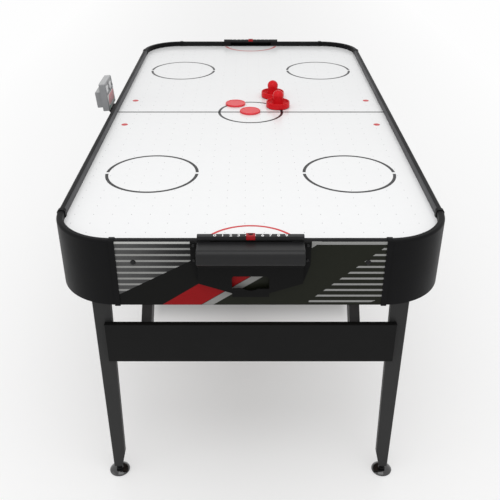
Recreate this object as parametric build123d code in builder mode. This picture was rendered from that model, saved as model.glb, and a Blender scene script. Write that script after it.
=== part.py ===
from build123d import *
import math
import os

# Air hockey table, six-foot class, in millimetres. X runs across the table, Y along it and Z up from
# the floor. Front is the -Y end and left is the -X side. Pieces are drawn about the table's own middle
# and are then moved across by FRAME_SHIFT, so that the frame is centred on the scorer's overhang too.

# ---- Driving dimensions ----
PLAY_HEIGHT = 743.0         # floor to the playing surface
CABINET_LENGTH = 1830.0     # over the end aprons
CABINET_WIDTH = 920.0       # over the side aprons
CORNER_RADIUS = 150.0       # outside of the moulded corners
WALL = 16.0                 # apron and rail thickness
APRON_DROP = 152.0          # lower edge of the aprons below the playing surface
RAIL_RISE = 18.0            # top of the rails above the playing surface
RAIL_HEIGHT = 16.0          # rail from its foot on the apron to its top
RAIL_TONGUE = 4.0           # width of the tongue that sits in the apron's groove
TONGUE_DEPTH = 5.0
PLAYFIELD_THICKNESS = 12.0
CHAMBER_DEPTH = 50.0        # air chamber under the playfield
PANEL_THICKNESS = 6.0       # floor of the air chamber
SHELL = 2.5                 # wall of the moulded pieces

GOAL_WIDTH = 180.0          # mouth between the end rails
HOOD_WIDTH = 237.0          # goal box over its hood
HOOD_REACH = 49.0           # goal box out from the apron
POCKET_REACH = 12.5         # slim lower part that the puck drops into
GOAL_DROP = 122.0           # lowest edge of the goal box below the playing surface

LEG_THICKNESS = 16.0
LEG_TOP_WIDTH = 46.0
LEG_LOW_WIDTH = 34.0
LEG_TOE_WIDTH = 23.0
LEG_OUTER_X = 378.0         # outer corner of each L-shaped leg
LEG_OUTER_Y = 878.0
LEG_BOTTOM = 25.0
LEG_TAPER_END = 73.0        # height where the toe's cut starts
BOARD_TOP = 516.0           # board across each pair of legs
BOARD_HEIGHT = 111.0
BOARD_THICKNESS = 15.0
BEAM_THICKNESS = 21.0
STUD_INSET = 12.0           # levelling stud in from the leg's two outer faces
STUD_RADIUS = 4.0
RUNNING_GAP = 0.05          # radial clearance of a shaft in its hole

BOLT_X = 263.0              # bolts of the end aprons
BOLT_DROP = 37.0

SCORER_NEAR_Y = 24.0        # electronic scorer, beside the left rail
SCORER_LENGTH = 114.0
SCORER_BOTTOM = PLAY_HEIGHT - 5.0
SCORER_HEIGHT = 93.0
SCORER_FACE_X = -476.0      # these four as drawn upright, before it leans back
SCORER_SPLIT_X = -487.0
SCORER_BACK_X = -497.5
BATTERY_BACK_X = -516.5
SCORER_LEAN = 5.0           # degrees
SCORER_OUTER_X = -522.0     # how far out the leaning scorer reaches

PUSHER_RADIUS = 40.0
PUCK_RADIUS = 34.0
PUCK_THICKNESS = 7.0

# ---- Worked out from them ----
HALF_LENGTH = CABINET_LENGTH / 2
HALF_WIDTH = CABINET_WIDTH / 2
INNER_X = HALF_WIDTH - WALL
INNER_Y = HALF_LENGTH - WALL
STRAIGHT_X = HALF_WIDTH - CORNER_RADIUS
STRAIGHT_Y = HALF_LENGTH - CORNER_RADIUS
APRON_BOTTOM = PLAY_HEIGHT - APRON_DROP
RAIL_TOP = PLAY_HEIGHT + RAIL_RISE
APRON_TOP = RAIL_TOP - RAIL_HEIGHT
PLAYFIELD_BOTTOM = PLAY_HEIGHT - PLAYFIELD_THICKNESS
PANEL_TOP = PLAYFIELD_BOTTOM - CHAMBER_DEPTH
PANEL_BOTTOM = PANEL_TOP - PANEL_THICKNESS
LEG_TOP = PANEL_BOTTOM - 2.0
BEAM_BOTTOM = APRON_BOTTOM + 6.0
STUD_X = LEG_OUTER_X - STUD_INSET
STUD_Y = LEG_OUTER_Y - STUD_INSET
BOLT_HEIGHT = PLAY_HEIGHT - BOLT_DROP
BAND = 2.0                  # how far the corners' end flanges stand proud
FRAME_SHIFT = -(SCORER_OUTER_X + HALF_WIDTH + BAND) / 2

os.makedirs("parts", exist_ok=True)


def keep(piece, name):
    """Set a finished piece in the object's frame, label it and write its STEP file."""
    placed = piece.moved(Location((FRAME_SHIFT, 0, 0)))
    placed.label = name
    export_step(placed, f"parts/{name}.step")


def keep_ends(piece, name):
    """Write a piece drawn at the rear end, and its mirror image at the front."""
    keep(piece, f"{name}_rear")
    keep(mirror(piece, about=Plane.XZ), f"{name}_front")


def keep_sides(piece, name):
    """Write a piece drawn on the right, and its mirror image on the left."""
    keep(piece, f"{name}_right")
    keep(mirror(piece, about=Plane.YZ), f"{name}_left")


def keep_corners(piece, name):
    """Write a piece drawn at the rear right, and its three mirror images."""
    keep_sides(piece, f"{name}_rear")
    keep_sides(mirror(piece, about=Plane.XZ), f"{name}_front")


def group(pieces):
    """Identical loose pieces that share one node."""
    return Compound([solid for piece in pieces for solid in piece.solids()])


def four_ways(piece):
    """A rear right piece and its mirror images in the other three corners."""
    left = mirror(piece, about=Plane.YZ)
    return [piece, left, mirror(piece, about=Plane.XZ), mirror(left, about=Plane.XZ)]


def bolt(head_radius, head_height, shank_radius, length):
    """Round-headed bolt: the head stands on z = 0 and the shank hangs below it."""
    with BuildPart() as piece:
        with BuildSketch():
            Circle(head_radius)
        extrude(amount=head_height)
        fillet(piece.faces().sort_by(Axis.Z)[-1].edges(), radius=0.9 * head_height)
        with BuildSketch():
            Circle(shank_radius)
        extrude(amount=-length)
    return piece.part


HEAD_TO_REAR = (-90, 0, 0)      # turns a bolt's head to face +Y
HEAD_TO_FRONT = (90, 0, 0)      # turns it to face -Y
HEAD_TO_LEFT = (0, -90, 0)      # turns it to face -X
HEAD_DOWN = (180, 0, 0)

# ---- Playing surface and air chamber ----
with BuildPart() as playfield:
    with BuildSketch(Plane.XY.offset(PLAYFIELD_BOTTOM)):
        RectangleRounded(2 * INNER_X, 2 * INNER_Y, CORNER_RADIUS - WALL)
    extrude(amount=PLAYFIELD_THICKNESS)
keep(playfield.part, "playfield")

DUCT_RADIUS = 92.0
DUCT_SQUARE = 170.0             # opening sawn in the panel, over the blower's round duct
PANEL_CORNER = 112.0
with BuildPart() as chamber_panel:
    with BuildSketch(Plane.XY.offset(PANEL_BOTTOM)):
        RectangleRounded(2 * INNER_X, 2 * LEG_OUTER_Y, PANEL_CORNER)
        Rectangle(DUCT_SQUARE, DUCT_SQUARE, mode=Mode.SUBTRACT)
    extrude(amount=PANEL_THICKNESS)
keep(chamber_panel.part, "chamber_panel")

# Battens along both sides and loose blocks between them hold the panel off the playfield.
BATTEN_WIDTH = 20.0
SPACER_SIZE = 40.0
with BuildPart() as chamber_spacers:
    with BuildSketch(Plane.XY.offset(PANEL_TOP)):
        with GridLocations(2 * INNER_X - BATTEN_WIDTH, 0, 2, 1):
            Rectangle(BATTEN_WIDTH, 2 * STRAIGHT_Y)
        with GridLocations(300, 400, 2, 4):
            RectangleRounded(SPACER_SIZE, SPACER_SIZE, 4)
    extrude(amount=CHAMBER_DEPTH)
keep(chamber_spacers.part, "chamber_spacers")

# ---- Aprons and beams ----
SCREW_RADIUS = 2.0
SCREW_LENGTH = 14.0
BRACKET_WIDTH = 50.0
BRACKET_Y = SCORER_NEAR_Y + SCORER_LENGTH / 2
BRACKET_HOLES = [(BRACKET_Y - 16, SCORER_BOTTOM - 32), (BRACKET_Y + 16, SCORER_BOTTOM - 32)]


def side_apron():
    """Right-hand apron board with the groove for its rail."""
    with BuildPart() as board:
        with BuildSketch(Plane.XY.offset(APRON_BOTTOM)):
            with Locations((HALF_WIDTH - WALL / 2, 0)):
                Rectangle(WALL, 2 * STRAIGHT_Y)
        extrude(amount=APRON_TOP - APRON_BOTTOM)
        with BuildSketch(Plane.XY.offset(APRON_TOP)):
            with Locations((HALF_WIDTH - WALL / 2, 0)):
                Rectangle(RAIL_TONGUE, 2 * STRAIGHT_Y)
        extrude(amount=-TONGUE_DEPTH, mode=Mode.SUBTRACT)
    return board.part


right_apron = side_apron()
keep(right_apron, "side_apron_right")
with BuildPart() as left_apron:
    add(mirror(right_apron, about=Plane.YZ))
    with BuildSketch(Plane.YZ.offset(-HALF_WIDTH)):
        with Locations(*BRACKET_HOLES):
            Circle(SCREW_RADIUS)
    extrude(amount=WALL - 4, mode=Mode.SUBTRACT)
keep(left_apron.part, "side_apron_left")

MOUTH_DEPTH = 5.0               # the goal's sill below the playing surface
APRON_BOLT_RADIUS = 3.0
GOAL_SCREWS = [(126.5, PLAY_HEIGHT + 7), (126.5, PLAY_HEIGHT - 31)]     # into the rail and the apron
with BuildPart() as end_apron:
    with BuildSketch(Plane.XY.offset(APRON_BOTTOM)):
        with Locations((0, HALF_LENGTH - WALL / 2)):
            Rectangle(2 * STRAIGHT_X, WALL)
    extrude(amount=APRON_TOP - APRON_BOTTOM)
    with BuildSketch(Plane.XY.offset(APRON_TOP)):
        with Locations((0, HALF_LENGTH - WALL / 2)):
            Rectangle(2 * STRAIGHT_X, RAIL_TONGUE)
    extrude(amount=-TONGUE_DEPTH, mode=Mode.SUBTRACT)
    with BuildSketch(Plane.XY.offset(APRON_TOP)):
        with Locations((0, HALF_LENGTH - WALL / 2)):
            Rectangle(GOAL_WIDTH, WALL)
    extrude(amount=-(APRON_TOP - PLAY_HEIGHT + MOUTH_DEPTH), mode=Mode.SUBTRACT)
    with BuildSketch(Plane.XZ.offset(-INNER_Y)):
        with Locations((-BOLT_X, BOLT_HEIGHT), (BOLT_X, BOLT_HEIGHT)):
            Circle(APRON_BOLT_RADIUS)
        for x, z in GOAL_SCREWS:
            with Locations((-x, z), (x, z)):
                Circle(SCREW_RADIUS)
    extrude(amount=-WALL, mode=Mode.SUBTRACT)
keep_ends(end_apron.part, "end_apron")

LEG_BOLT_RADIUS = 3.0
LEG_BOLT_X = LEG_OUTER_X - 28.0
LEG_BOLT_HEIGHTS = [BEAM_BOTTOM + 28, BEAM_BOTTOM + 60]
LEG_BOLT_BITE = 12.0            # how deep the bolts go into the beam and the board
BOARD_BOLT_X = LEG_OUTER_X - 35.0
BOARD_BOLT_HEIGHTS = [BOARD_TOP - 86, BOARD_TOP - 25]
BEAM_HALF_WIDTH = 365.0
with BuildPart() as end_beam:
    with BuildSketch(Plane.XY.offset(BEAM_BOTTOM)):
        with Locations((0, LEG_OUTER_Y + BEAM_THICKNESS / 2)):
            Rectangle(2 * BEAM_HALF_WIDTH, BEAM_THICKNESS)
    extrude(amount=PLAYFIELD_BOTTOM - BEAM_BOTTOM)
    with BuildSketch(Plane.XZ.offset(-LEG_OUTER_Y)):
        with Locations((-BOLT_X, BOLT_HEIGHT), (BOLT_X, BOLT_HEIGHT)):
            Circle(APRON_BOLT_RADIUS)
    extrude(amount=-BEAM_THICKNESS, mode=Mode.SUBTRACT)
    with BuildSketch(Plane.XZ.offset(-LEG_OUTER_Y)):
        for z in LEG_BOLT_HEIGHTS:
            with Locations((-LEG_BOLT_X, z), (LEG_BOLT_X, z)):
                Circle(LEG_BOLT_RADIUS)
    extrude(amount=-LEG_BOLT_BITE, mode=Mode.SUBTRACT)
keep_ends(end_beam.part, "end_beam")

CROSS_BEAM_THICKNESS = 18.0
CROSS_BEAM_WIDTH = 72.0
CROSS_BEAM_Y = 666.0
CROSS_BEAM_BOTTOM = PANEL_BOTTOM - CROSS_BEAM_THICKNESS
with BuildPart() as cross_beam:
    with BuildSketch(Plane.XY.offset(CROSS_BEAM_BOTTOM)):
        with Locations((0, CROSS_BEAM_Y)):
            Rectangle(2 * INNER_X, CROSS_BEAM_WIDTH)
    extrude(amount=CROSS_BEAM_THICKNESS)
keep_ends(cross_beam.part, "cross_beam")

# ---- Rails ----
RAIL_ROUND_OUT = 6.0
RAIL_ROUND_IN = 4.0


def rail(length):
    """Rail along Y with its inner face on x = 0, its foot on z = 0 and its tongue below that."""
    with BuildPart() as piece:
        with BuildSketch(Plane.XZ.offset(length / 2)) as section:
            with Locations((WALL / 2, RAIL_HEIGHT / 2)):
                Rectangle(WALL, RAIL_HEIGHT)
            fillet(section.vertices().group_by(Axis.Y)[-1].sort_by(Axis.X)[0], radius=RAIL_ROUND_IN)
            fillet(section.vertices().group_by(Axis.X)[-1].sort_by(Axis.Y)[-1], radius=RAIL_ROUND_OUT)
            with Locations((WALL / 2, -TONGUE_DEPTH / 2)):
                Rectangle(RAIL_TONGUE, TONGUE_DEPTH)
        extrude(amount=-length)
    return piece.part


side_rail = rail(2 * STRAIGHT_Y).moved(Location((INNER_X, 0, APRON_TOP)))
keep_sides(side_rail, "side_rail")

END_RAIL_LENGTH = STRAIGHT_X - GOAL_WIDTH / 2
end_rail_x = GOAL_WIDTH / 2 + END_RAIL_LENGTH / 2
with BuildPart() as end_rail:
    add(rail(END_RAIL_LENGTH).moved(Location((end_rail_x, INNER_Y, APRON_TOP), (0, 0, 90))))
    with BuildSketch(Plane.XZ.offset(-HALF_LENGTH)):
        with Locations(GOAL_SCREWS[0]):
            Circle(SCREW_RADIUS)
    extrude(amount=SCREW_LENGTH - 2, mode=Mode.SUBTRACT)
keep_ends(group([end_rail.part, mirror(end_rail.part, about=Plane.YZ)]), "end_rails")

# ---- Moulded corners ----
CORNER_SHELL = 3.0
BAND_LENGTH = 8.5               # over the apron's end
COLLAR_LENGTH = 4.0             # where the band joins the shell
LIP_RADIUS = 138.0
RIB_THICKNESS = 2.5
RIB_TOP = RAIL_TOP - CORNER_SHELL


def wall_outline(proud):
    """Section across rail and apron from inner to outer face, drawn out by proud."""
    with BuildSketch() as outline:
        low = APRON_BOTTOM - proud
        high = RAIL_TOP + proud
        with Locations((HALF_WIDTH - WALL / 2, (low + high) / 2)):
            Rectangle(WALL + 2 * proud, high - low)
        inner = outline.vertices().group_by(Axis.Y)[-1].sort_by(Axis.X)[0]
        fillet(inner, radius=RAIL_ROUND_IN + proud)
        outer = outline.vertices().group_by(Axis.X)[-1].sort_by(Axis.Y)[-1]
        fillet(outer, radius=RAIL_ROUND_OUT + proud)
    return outline.sketch


with BuildPart() as corner:
    # Band that wraps the apron's end: outside, over the rail, and down its inner face to the playfield.
    with BuildSketch(Plane.XZ.offset(-(STRAIGHT_Y - BAND_LENGTH))):
        add(wall_outline(BAND))
        add(wall_outline(0), mode=Mode.SUBTRACT)
        with Locations((HALF_WIDTH - WALL - BAND / 2, (APRON_BOTTOM + PLAY_HEIGHT) / 2 - 10)):
            Rectangle(2 * BAND, PLAY_HEIGHT - APRON_BOTTOM + 20, mode=Mode.SUBTRACT)
    extrude(amount=-BAND_LENGTH)
    # Collar that joins the band to the shell, hollow between the two walls.
    with BuildSketch(Plane.XZ.offset(-STRAIGHT_Y)):
        add(wall_outline(BAND))
        with BuildLine():
            Polyline(
                (INNER_X - 2 * BAND, APRON_BOTTOM + CORNER_SHELL),
                (HALF_WIDTH - CORNER_SHELL, APRON_BOTTOM + CORNER_SHELL),
                (HALF_WIDTH - CORNER_SHELL, RIB_TOP - 1),
                (INNER_X + CORNER_SHELL, RIB_TOP - 1),
                (INNER_X + CORNER_SHELL, PLAY_HEIGHT),
                (INNER_X - 2 * BAND, PLAY_HEIGHT),
                close=True,
            )
        make_face(mode=Mode.SUBTRACT)
    extrude(amount=-COLLAR_LENGTH)
    mirror(about=Plane(origin=(STRAIGHT_X, STRAIGHT_Y, 0), z_dir=(1, -1, 0)))
    # Shell: outer wall, rolled top, short inner wall down past the playfield's edge, and a foot lip.
    with BuildSketch(Plane.XZ.offset(-STRAIGHT_Y)):
        add(wall_outline(0))
        with BuildLine():
            Polyline(
                (STRAIGHT_X, PLAYFIELD_BOTTOM),
                (INNER_X + CORNER_SHELL, PLAYFIELD_BOTTOM),
                (INNER_X + CORNER_SHELL, RIB_TOP - 1),
                (HALF_WIDTH - CORNER_SHELL - 1, RIB_TOP - 1),
                (HALF_WIDTH - CORNER_SHELL, RIB_TOP - 4),
                (HALF_WIDTH - CORNER_SHELL, APRON_BOTTOM + CORNER_SHELL),
                (STRAIGHT_X + LIP_RADIUS, APRON_BOTTOM + CORNER_SHELL),
                (STRAIGHT_X + LIP_RADIUS, APRON_BOTTOM - 1),
                (STRAIGHT_X, APRON_BOTTOM - 1),
                close=True,
            )
        make_face(mode=Mode.SUBTRACT)
    revolve(axis=Axis((STRAIGHT_X, STRAIGHT_Y, 0), (0, 0, 1)), revolution_arc=90)
    # Stiffening ribs between the two walls, under the rolled top.
    with BuildSketch(Plane.XY.offset(RIB_TOP)):
        with Locations((STRAIGHT_X, STRAIGHT_Y)):
            with PolarLocations(CORNER_RADIUS - WALL / 2, 3, 22.5, 67.5):
                Rectangle(WALL - 2 * CORNER_SHELL + 1, RIB_THICKNESS)
    extrude(amount=-(RIB_TOP - PLAY_HEIGHT))
keep_corners(corner.part, "corner")

# ---- Goal boxes ----
HOOD_TOP = PLAY_HEIGHT + 15.0
HOOD_ROUND = 14.0                       # roll of the hood's upper front edge
HOOD_LOW = PLAY_HEIGHT - 16.0           # lower front edge of the hood
HOOD_UNDER = PLAY_HEIGHT - 46.0         # where the hood's underside meets the pocket
POCKET_SHOULDER = PLAY_HEIGHT - 86.0    # height where the pocket's sides start to close in
POCKET_THROAT = PLAY_HEIGHT - 112.0
POCKET_FLOOR = PLAY_HEIGHT - GOAL_DROP
POCKET_HALF = 42.0                      # half-width of the pocket's lowest part
WINDOW_TOP = PLAY_HEIGHT - 67.0
WINDOW_SILL = PLAY_HEIGHT - 100.0
NOTCH_HALF = 17.0
NOTCH_DEPTH = 5.0
FLANGE_HALF = 134.0
FLANGE_SHOULDER = PLAY_HEIGHT - 43.0
FLANGE_THICKNESS = 2.0


def goal_form(back, inset):
    """Outer form of the goal box from the plane y = back outwards, drawn in by inset."""
    with BuildPart() as form:
        with BuildSketch(Plane.YZ.offset(-HOOD_WIDTH / 2 + inset)) as side:
            with BuildLine():
                Polyline(
                    (back, HOOD_TOP - inset),
                    (HALF_LENGTH + HOOD_REACH - inset, HOOD_TOP - inset),
                    (HALF_LENGTH + HOOD_REACH - inset, HOOD_LOW + 0.7 * inset),
                    (HALF_LENGTH + POCKET_REACH - inset, HOOD_UNDER + 0.7 * inset),
                    (HALF_LENGTH + POCKET_REACH - inset, POCKET_FLOOR + inset),
                    (back, POCKET_FLOOR + inset),
                    close=True,
                )
            make_face()
            fillet(side.vertices().group_by(Axis.X)[-1].sort_by(Axis.Y)[-1], radius=HOOD_ROUND - inset)
            fillet(side.vertices().group_by(Axis.X)[-1].sort_by(Axis.Y)[0], radius=6.0 - inset)
        extrude(amount=HOOD_WIDTH - 2 * inset)
        with BuildSketch(Plane.XZ.offset(-back)):
            with BuildLine():
                Polyline(
                    (0, HOOD_TOP - inset),
                    (HOOD_WIDTH / 2 - inset, HOOD_TOP - inset),
                    (HOOD_WIDTH / 2 - inset, POCKET_SHOULDER + inset),
                    (POCKET_HALF - inset, POCKET_THROAT + inset),
                    (POCKET_HALF - inset, POCKET_FLOOR + inset),
                    (0, POCKET_FLOOR + inset),
                )
                mirror(about=Plane.YZ)
            make_face()
        extrude(amount=-(HALF_LENGTH + HOOD_REACH + 1 - back), mode=Mode.INTERSECT)
    return form.part


hood = goal_form(HALF_LENGTH, 0)
hollow = goal_form(HALF_LENGTH - 5, SHELL)
with BuildPart() as goal_box:
    add(hood)
    ends = goal_box.faces().filter_by(Axis.X).filter_by(lambda f: abs(f.center().X) > HOOD_WIDTH / 2 - 1)
    rims = ends.edges().filter_by(lambda e: e.center().Y > HALF_LENGTH + POCKET_REACH + 1)
    fillet(rims, radius=2.4)
    # Flange around the back, screwed to the apron.
    with BuildSketch(Plane.XZ.offset(-HALF_LENGTH)):
        with BuildLine():
            Polyline(
                (0, HOOD_TOP),
                (FLANGE_HALF, HOOD_TOP),
                (FLANGE_HALF, FLANGE_SHOULDER),
                (HOOD_WIDTH / 2 + 2, POCKET_SHOULDER),
                (POCKET_HALF, POCKET_THROAT),
                (POCKET_HALF, POCKET_FLOOR),
                (0, POCKET_FLOOR),
            )
            mirror(about=Plane.YZ)
        make_face()
    extrude(amount=-FLANGE_THICKNESS)
    add(hollow, mode=Mode.SUBTRACT)
    # Finger window with its notch, through the pocket's front wall.
    with BuildSketch(Plane.XZ.offset(-(HALF_LENGTH + POCKET_REACH / 2))) as window:
        with Locations((0, (WINDOW_TOP + WINDOW_SILL) / 2)):
            Rectangle(2 * POCKET_HALF, WINDOW_TOP - WINDOW_SILL)
        fillet(window.vertices().group_by(Axis.Y)[-1], radius=6)
        with BuildLine():
            Line((NOTCH_HALF, WINDOW_SILL), (-NOTCH_HALF, WINDOW_SILL))
            ThreePointArc((-NOTCH_HALF, WINDOW_SILL), (0, WINDOW_SILL - NOTCH_DEPTH), (NOTCH_HALF, WINDOW_SILL))
        make_face()
    extrude(amount=-POCKET_REACH, mode=Mode.SUBTRACT)
    with BuildSketch(Plane.XZ.offset(-HALF_LENGTH)):
        for x, z in GOAL_SCREWS:
            with Locations((-x, z), (x, z)):
                Circle(SCREW_RADIUS)
    extrude(amount=-FLANGE_THICKNESS, mode=Mode.SUBTRACT)
keep_ends(goal_box.part, "goal_box")

# ---- Score bars and their sliders ----
BAR_HALF_LENGTH = 118.5
BAR_SHELL = 2.2
SLIDER_WIDTH = 20.0
SLIDER_GAP = 0.3
SLIDER_WALL = 1.8
SLIDER_FOOT = 0.8                       # clearance of the clip's two edges above the ledge
BAR_HEIGHT = 9.0
BAR_TOP = RAIL_TOP + BAR_HEIGHT         # flat band that carries the figures
LEDGE = 2.0                             # step along the bar's outer edge


def bar_section(grow):
    """Score bar: flat numbered top, steep outer face and a ledge at its foot, drawn out by grow."""
    with BuildSketch() as section:
        with BuildLine():
            Polyline(
                (INNER_Y, RAIL_TOP),
                (INNER_Y, BAR_TOP),
                (HALF_LENGTH - 3, BAR_TOP),
                (HALF_LENGTH - 1.5, RAIL_TOP + LEDGE),
                (HALF_LENGTH, RAIL_TOP + LEDGE),
                (HALF_LENGTH, RAIL_TOP),
                close=True,
            )
        make_face()
        fillet(section.vertices().group_by(Axis.Y)[-1], radius=1.5)
        if grow:
            offset(amount=grow, kind=Kind.INTERSECTION)
    return section.sketch


with BuildPart() as score_bar:
    with BuildSketch(Plane.YZ.offset(-BAR_HALF_LENGTH)):
        add(bar_section(0))
    extrude(amount=2 * BAR_HALF_LENGTH)
    with BuildSketch(Plane.YZ.offset(-BAR_HALF_LENGTH + BAR_SHELL)):
        add(bar_section(-BAR_SHELL))
        with Locations((HALF_LENGTH - WALL / 2 - 0.5, RAIL_TOP + LEDGE)):
            Rectangle(WALL - 2 * BAR_SHELL - 1, 2 * LEDGE + 1)
    extrude(amount=2 * (BAR_HALF_LENGTH - BAR_SHELL), mode=Mode.SUBTRACT)
keep_ends(score_bar.part, "score_bar")

with BuildPart() as score_slider:
    # Clip over the bar: down its inner face to the rail, and down its outer face to the ledge.
    with BuildSketch(Plane.YZ.offset(-SLIDER_WIDTH / 2)):
        add(bar_section(SLIDER_GAP + SLIDER_WALL))
        add(bar_section(SLIDER_GAP), mode=Mode.SUBTRACT)
        with Locations((HALF_LENGTH - WALL / 2, RAIL_TOP)):
            Rectangle(2 * WALL, 2 * (LEDGE + SLIDER_FOOT), mode=Mode.SUBTRACT)
    extrude(amount=SLIDER_WIDTH)
    # Tapered window that frames the score.
    with BuildSketch(Plane.XY.offset(BAR_TOP)):
        with BuildLine():
            Polyline(
                (-6.5, INNER_Y + 1),
                (6.5, INNER_Y + 1),
                (3.8, INNER_Y + 10),
                (-3.8, INNER_Y + 10),
                close=True,
            )
        make_face()
    extrude(amount=SLIDER_GAP + 2 * SLIDER_WALL, mode=Mode.SUBTRACT)
keep_ends(score_slider.part, "score_slider")

# ---- Legs ----
with BuildPart() as leg:
    with BuildSketch(Plane.XZ.offset(-(LEG_OUTER_Y - LEG_THICKNESS))):
        with BuildLine():
            Polyline(
                (LEG_OUTER_X, LEG_BOTTOM),
                (LEG_OUTER_X, LEG_TOP),
                (LEG_OUTER_X - LEG_TOP_WIDTH, LEG_TOP),
                (LEG_OUTER_X - LEG_LOW_WIDTH, LEG_TAPER_END),
                (LEG_OUTER_X - LEG_TOE_WIDTH, LEG_BOTTOM),
                close=True,
            )
        make_face()
    extrude(amount=-LEG_THICKNESS)
    mirror(about=Plane(origin=(LEG_OUTER_X, LEG_OUTER_Y, 0), z_dir=(1, -1, 0)))
    outer_edge = leg.edges().filter_by(Axis.Z).sort_by(Axis((0, 0, 0), (1, 1, 0)))[-1]
    fillet(outer_edge, radius=3)
    with BuildSketch(Plane.XY.offset(LEG_BOTTOM)):
        with Locations((STUD_X, STUD_Y)):
            Circle(STUD_RADIUS + RUNNING_GAP)
    extrude(amount=60, mode=Mode.SUBTRACT)
    with BuildSketch(Plane.XZ.offset(-LEG_OUTER_Y)):
        for z in LEG_BOLT_HEIGHTS:
            with Locations((LEG_BOLT_X, z)):
                Circle(LEG_BOLT_RADIUS)
        for z in BOARD_BOLT_HEIGHTS:
            with Locations((BOARD_BOLT_X, z)):
                Circle(LEG_BOLT_RADIUS)
    extrude(amount=LEG_THICKNESS, mode=Mode.SUBTRACT)
keep_corners(leg.part, "leg")

BOARD_HALF_WIDTH = 352.5
with BuildPart() as leg_board:
    with BuildSketch(Plane.XZ.offset(-LEG_OUTER_Y)):
        with Locations((0, BOARD_TOP - BOARD_HEIGHT / 2)):
            Rectangle(2 * BOARD_HALF_WIDTH, BOARD_HEIGHT)
    extrude(amount=-BOARD_THICKNESS)
    chamfer(leg_board.faces().sort_by(Axis.Y)[-1].edges(), length=1.2)
    with BuildSketch(Plane.XZ.offset(-LEG_OUTER_Y)):
        for z in BOARD_BOLT_HEIGHTS:
            with Locations((-BOARD_BOLT_X, z), (BOARD_BOLT_X, z)):
                Circle(LEG_BOLT_RADIUS)
    extrude(amount=-LEG_BOLT_BITE, mode=Mode.SUBTRACT)
keep_ends(leg_board.part, "leg_board")

# Diagonal braces, from the board's back up to the cross beam.
BRACE_X = 256.5
BRACE_WIDTH = 25.0
BRACE_FOOT = 473.0              # upper edge of the brace on the board
BRACE_DROP = 56.0               # upright height of its 45 degree section
brace_rise = CROSS_BEAM_BOTTOM - BRACE_FOOT
with BuildPart() as leg_brace:
    with BuildSketch(Plane.YZ.offset(BRACE_X - BRACE_WIDTH / 2)):
        with BuildLine():
            Polyline(
                (LEG_OUTER_Y, BRACE_FOOT - BRACE_DROP),
                (LEG_OUTER_Y, BRACE_FOOT),
                (LEG_OUTER_Y - brace_rise, CROSS_BEAM_BOTTOM),
                (LEG_OUTER_Y - brace_rise - BRACE_DROP, CROSS_BEAM_BOTTOM),
                close=True,
            )
        make_face()
    extrude(amount=BRACE_WIDTH)
brace_pair = group([leg_brace.part, mirror(leg_brace.part, about=Plane.YZ)])
keep_ends(brace_pair, "leg_braces")

# Levelling feet: a domed disc on a stud that turns in the leg.
FOOT_RADIUS = 27.5
DOME_HEIGHT = 10.0
with BuildPart() as leveler:
    with BuildSketch(Plane.XZ) as foot_section:
        with BuildLine():
            Line((0, 0), (FOOT_RADIUS - 1.5, 0))
            Line((FOOT_RADIUS - 1.5, 0), (FOOT_RADIUS, 1.5))
            Line((FOOT_RADIUS, 1.5), (FOOT_RADIUS, 2.5))
            ThreePointArc((FOOT_RADIUS, 2.5), (20, 7.6), (8, DOME_HEIGHT))
            Line((8, DOME_HEIGHT), (8, DOME_HEIGHT + 2.5))
            Line((8, DOME_HEIGHT + 2.5), (STUD_RADIUS, DOME_HEIGHT + 2.5))
            Line((STUD_RADIUS, DOME_HEIGHT + 2.5), (STUD_RADIUS, 70))
            Line((STUD_RADIUS, 70), (0, 70))
            Line((0, 70), (0, 0))
        make_face()
    revolve(axis=Axis.Z)
keep_corners(leveler.part.moved(Location((STUD_X, STUD_Y, 0))), "leveler")

# ---- Blower under the air chamber ----
FAN_SIZE = 200.0
FAN_HEIGHT = 60.0
FAN_BOTTOM = PANEL_BOTTOM - FAN_HEIGHT
MOTOR_RADIUS = 34.0
HUB_RADIUS = 36.0
BLADE_TIP = 85.0
GRILLE_THICKNESS = 4.0
FAN_SCREWS = 184.0              # spacing of the corner screws
SEAT_THICKNESS = 4.0
with BuildPart() as blower_housing:
    with BuildSketch(Plane.XY.offset(FAN_BOTTOM)):
        RectangleRounded(FAN_SIZE, FAN_SIZE, 12)
    extrude(amount=5)
    with BuildSketch(Plane.XY.offset(PANEL_BOTTOM)):
        RectangleRounded(FAN_SIZE, FAN_SIZE, 12)
    extrude(amount=-5)
    with BuildSketch(Plane.XY.offset(FAN_BOTTOM)):
        Circle(DUCT_RADIUS + 3)
    extrude(amount=FAN_HEIGHT)
    with BuildSketch(Plane.XY.offset(FAN_BOTTOM)):
        Circle(DUCT_RADIUS)
    extrude(amount=FAN_HEIGHT, mode=Mode.SUBTRACT)
    with BuildSketch(Plane.XY.offset(FAN_BOTTOM)):
        Circle(HUB_RADIUS)
        with PolarLocations(DUCT_RADIUS / 2, 4, 45):
            Rectangle(DUCT_RADIUS + 1, 7)
    extrude(amount=SEAT_THICKNESS)
    with BuildSketch(Plane.XY.offset(FAN_BOTTOM)):
        with GridLocations(FAN_SCREWS, FAN_SCREWS, 2, 2):
            Circle(2)
    extrude(amount=FAN_HEIGHT, mode=Mode.SUBTRACT)
keep(blower_housing.part, "blower_housing")

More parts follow.
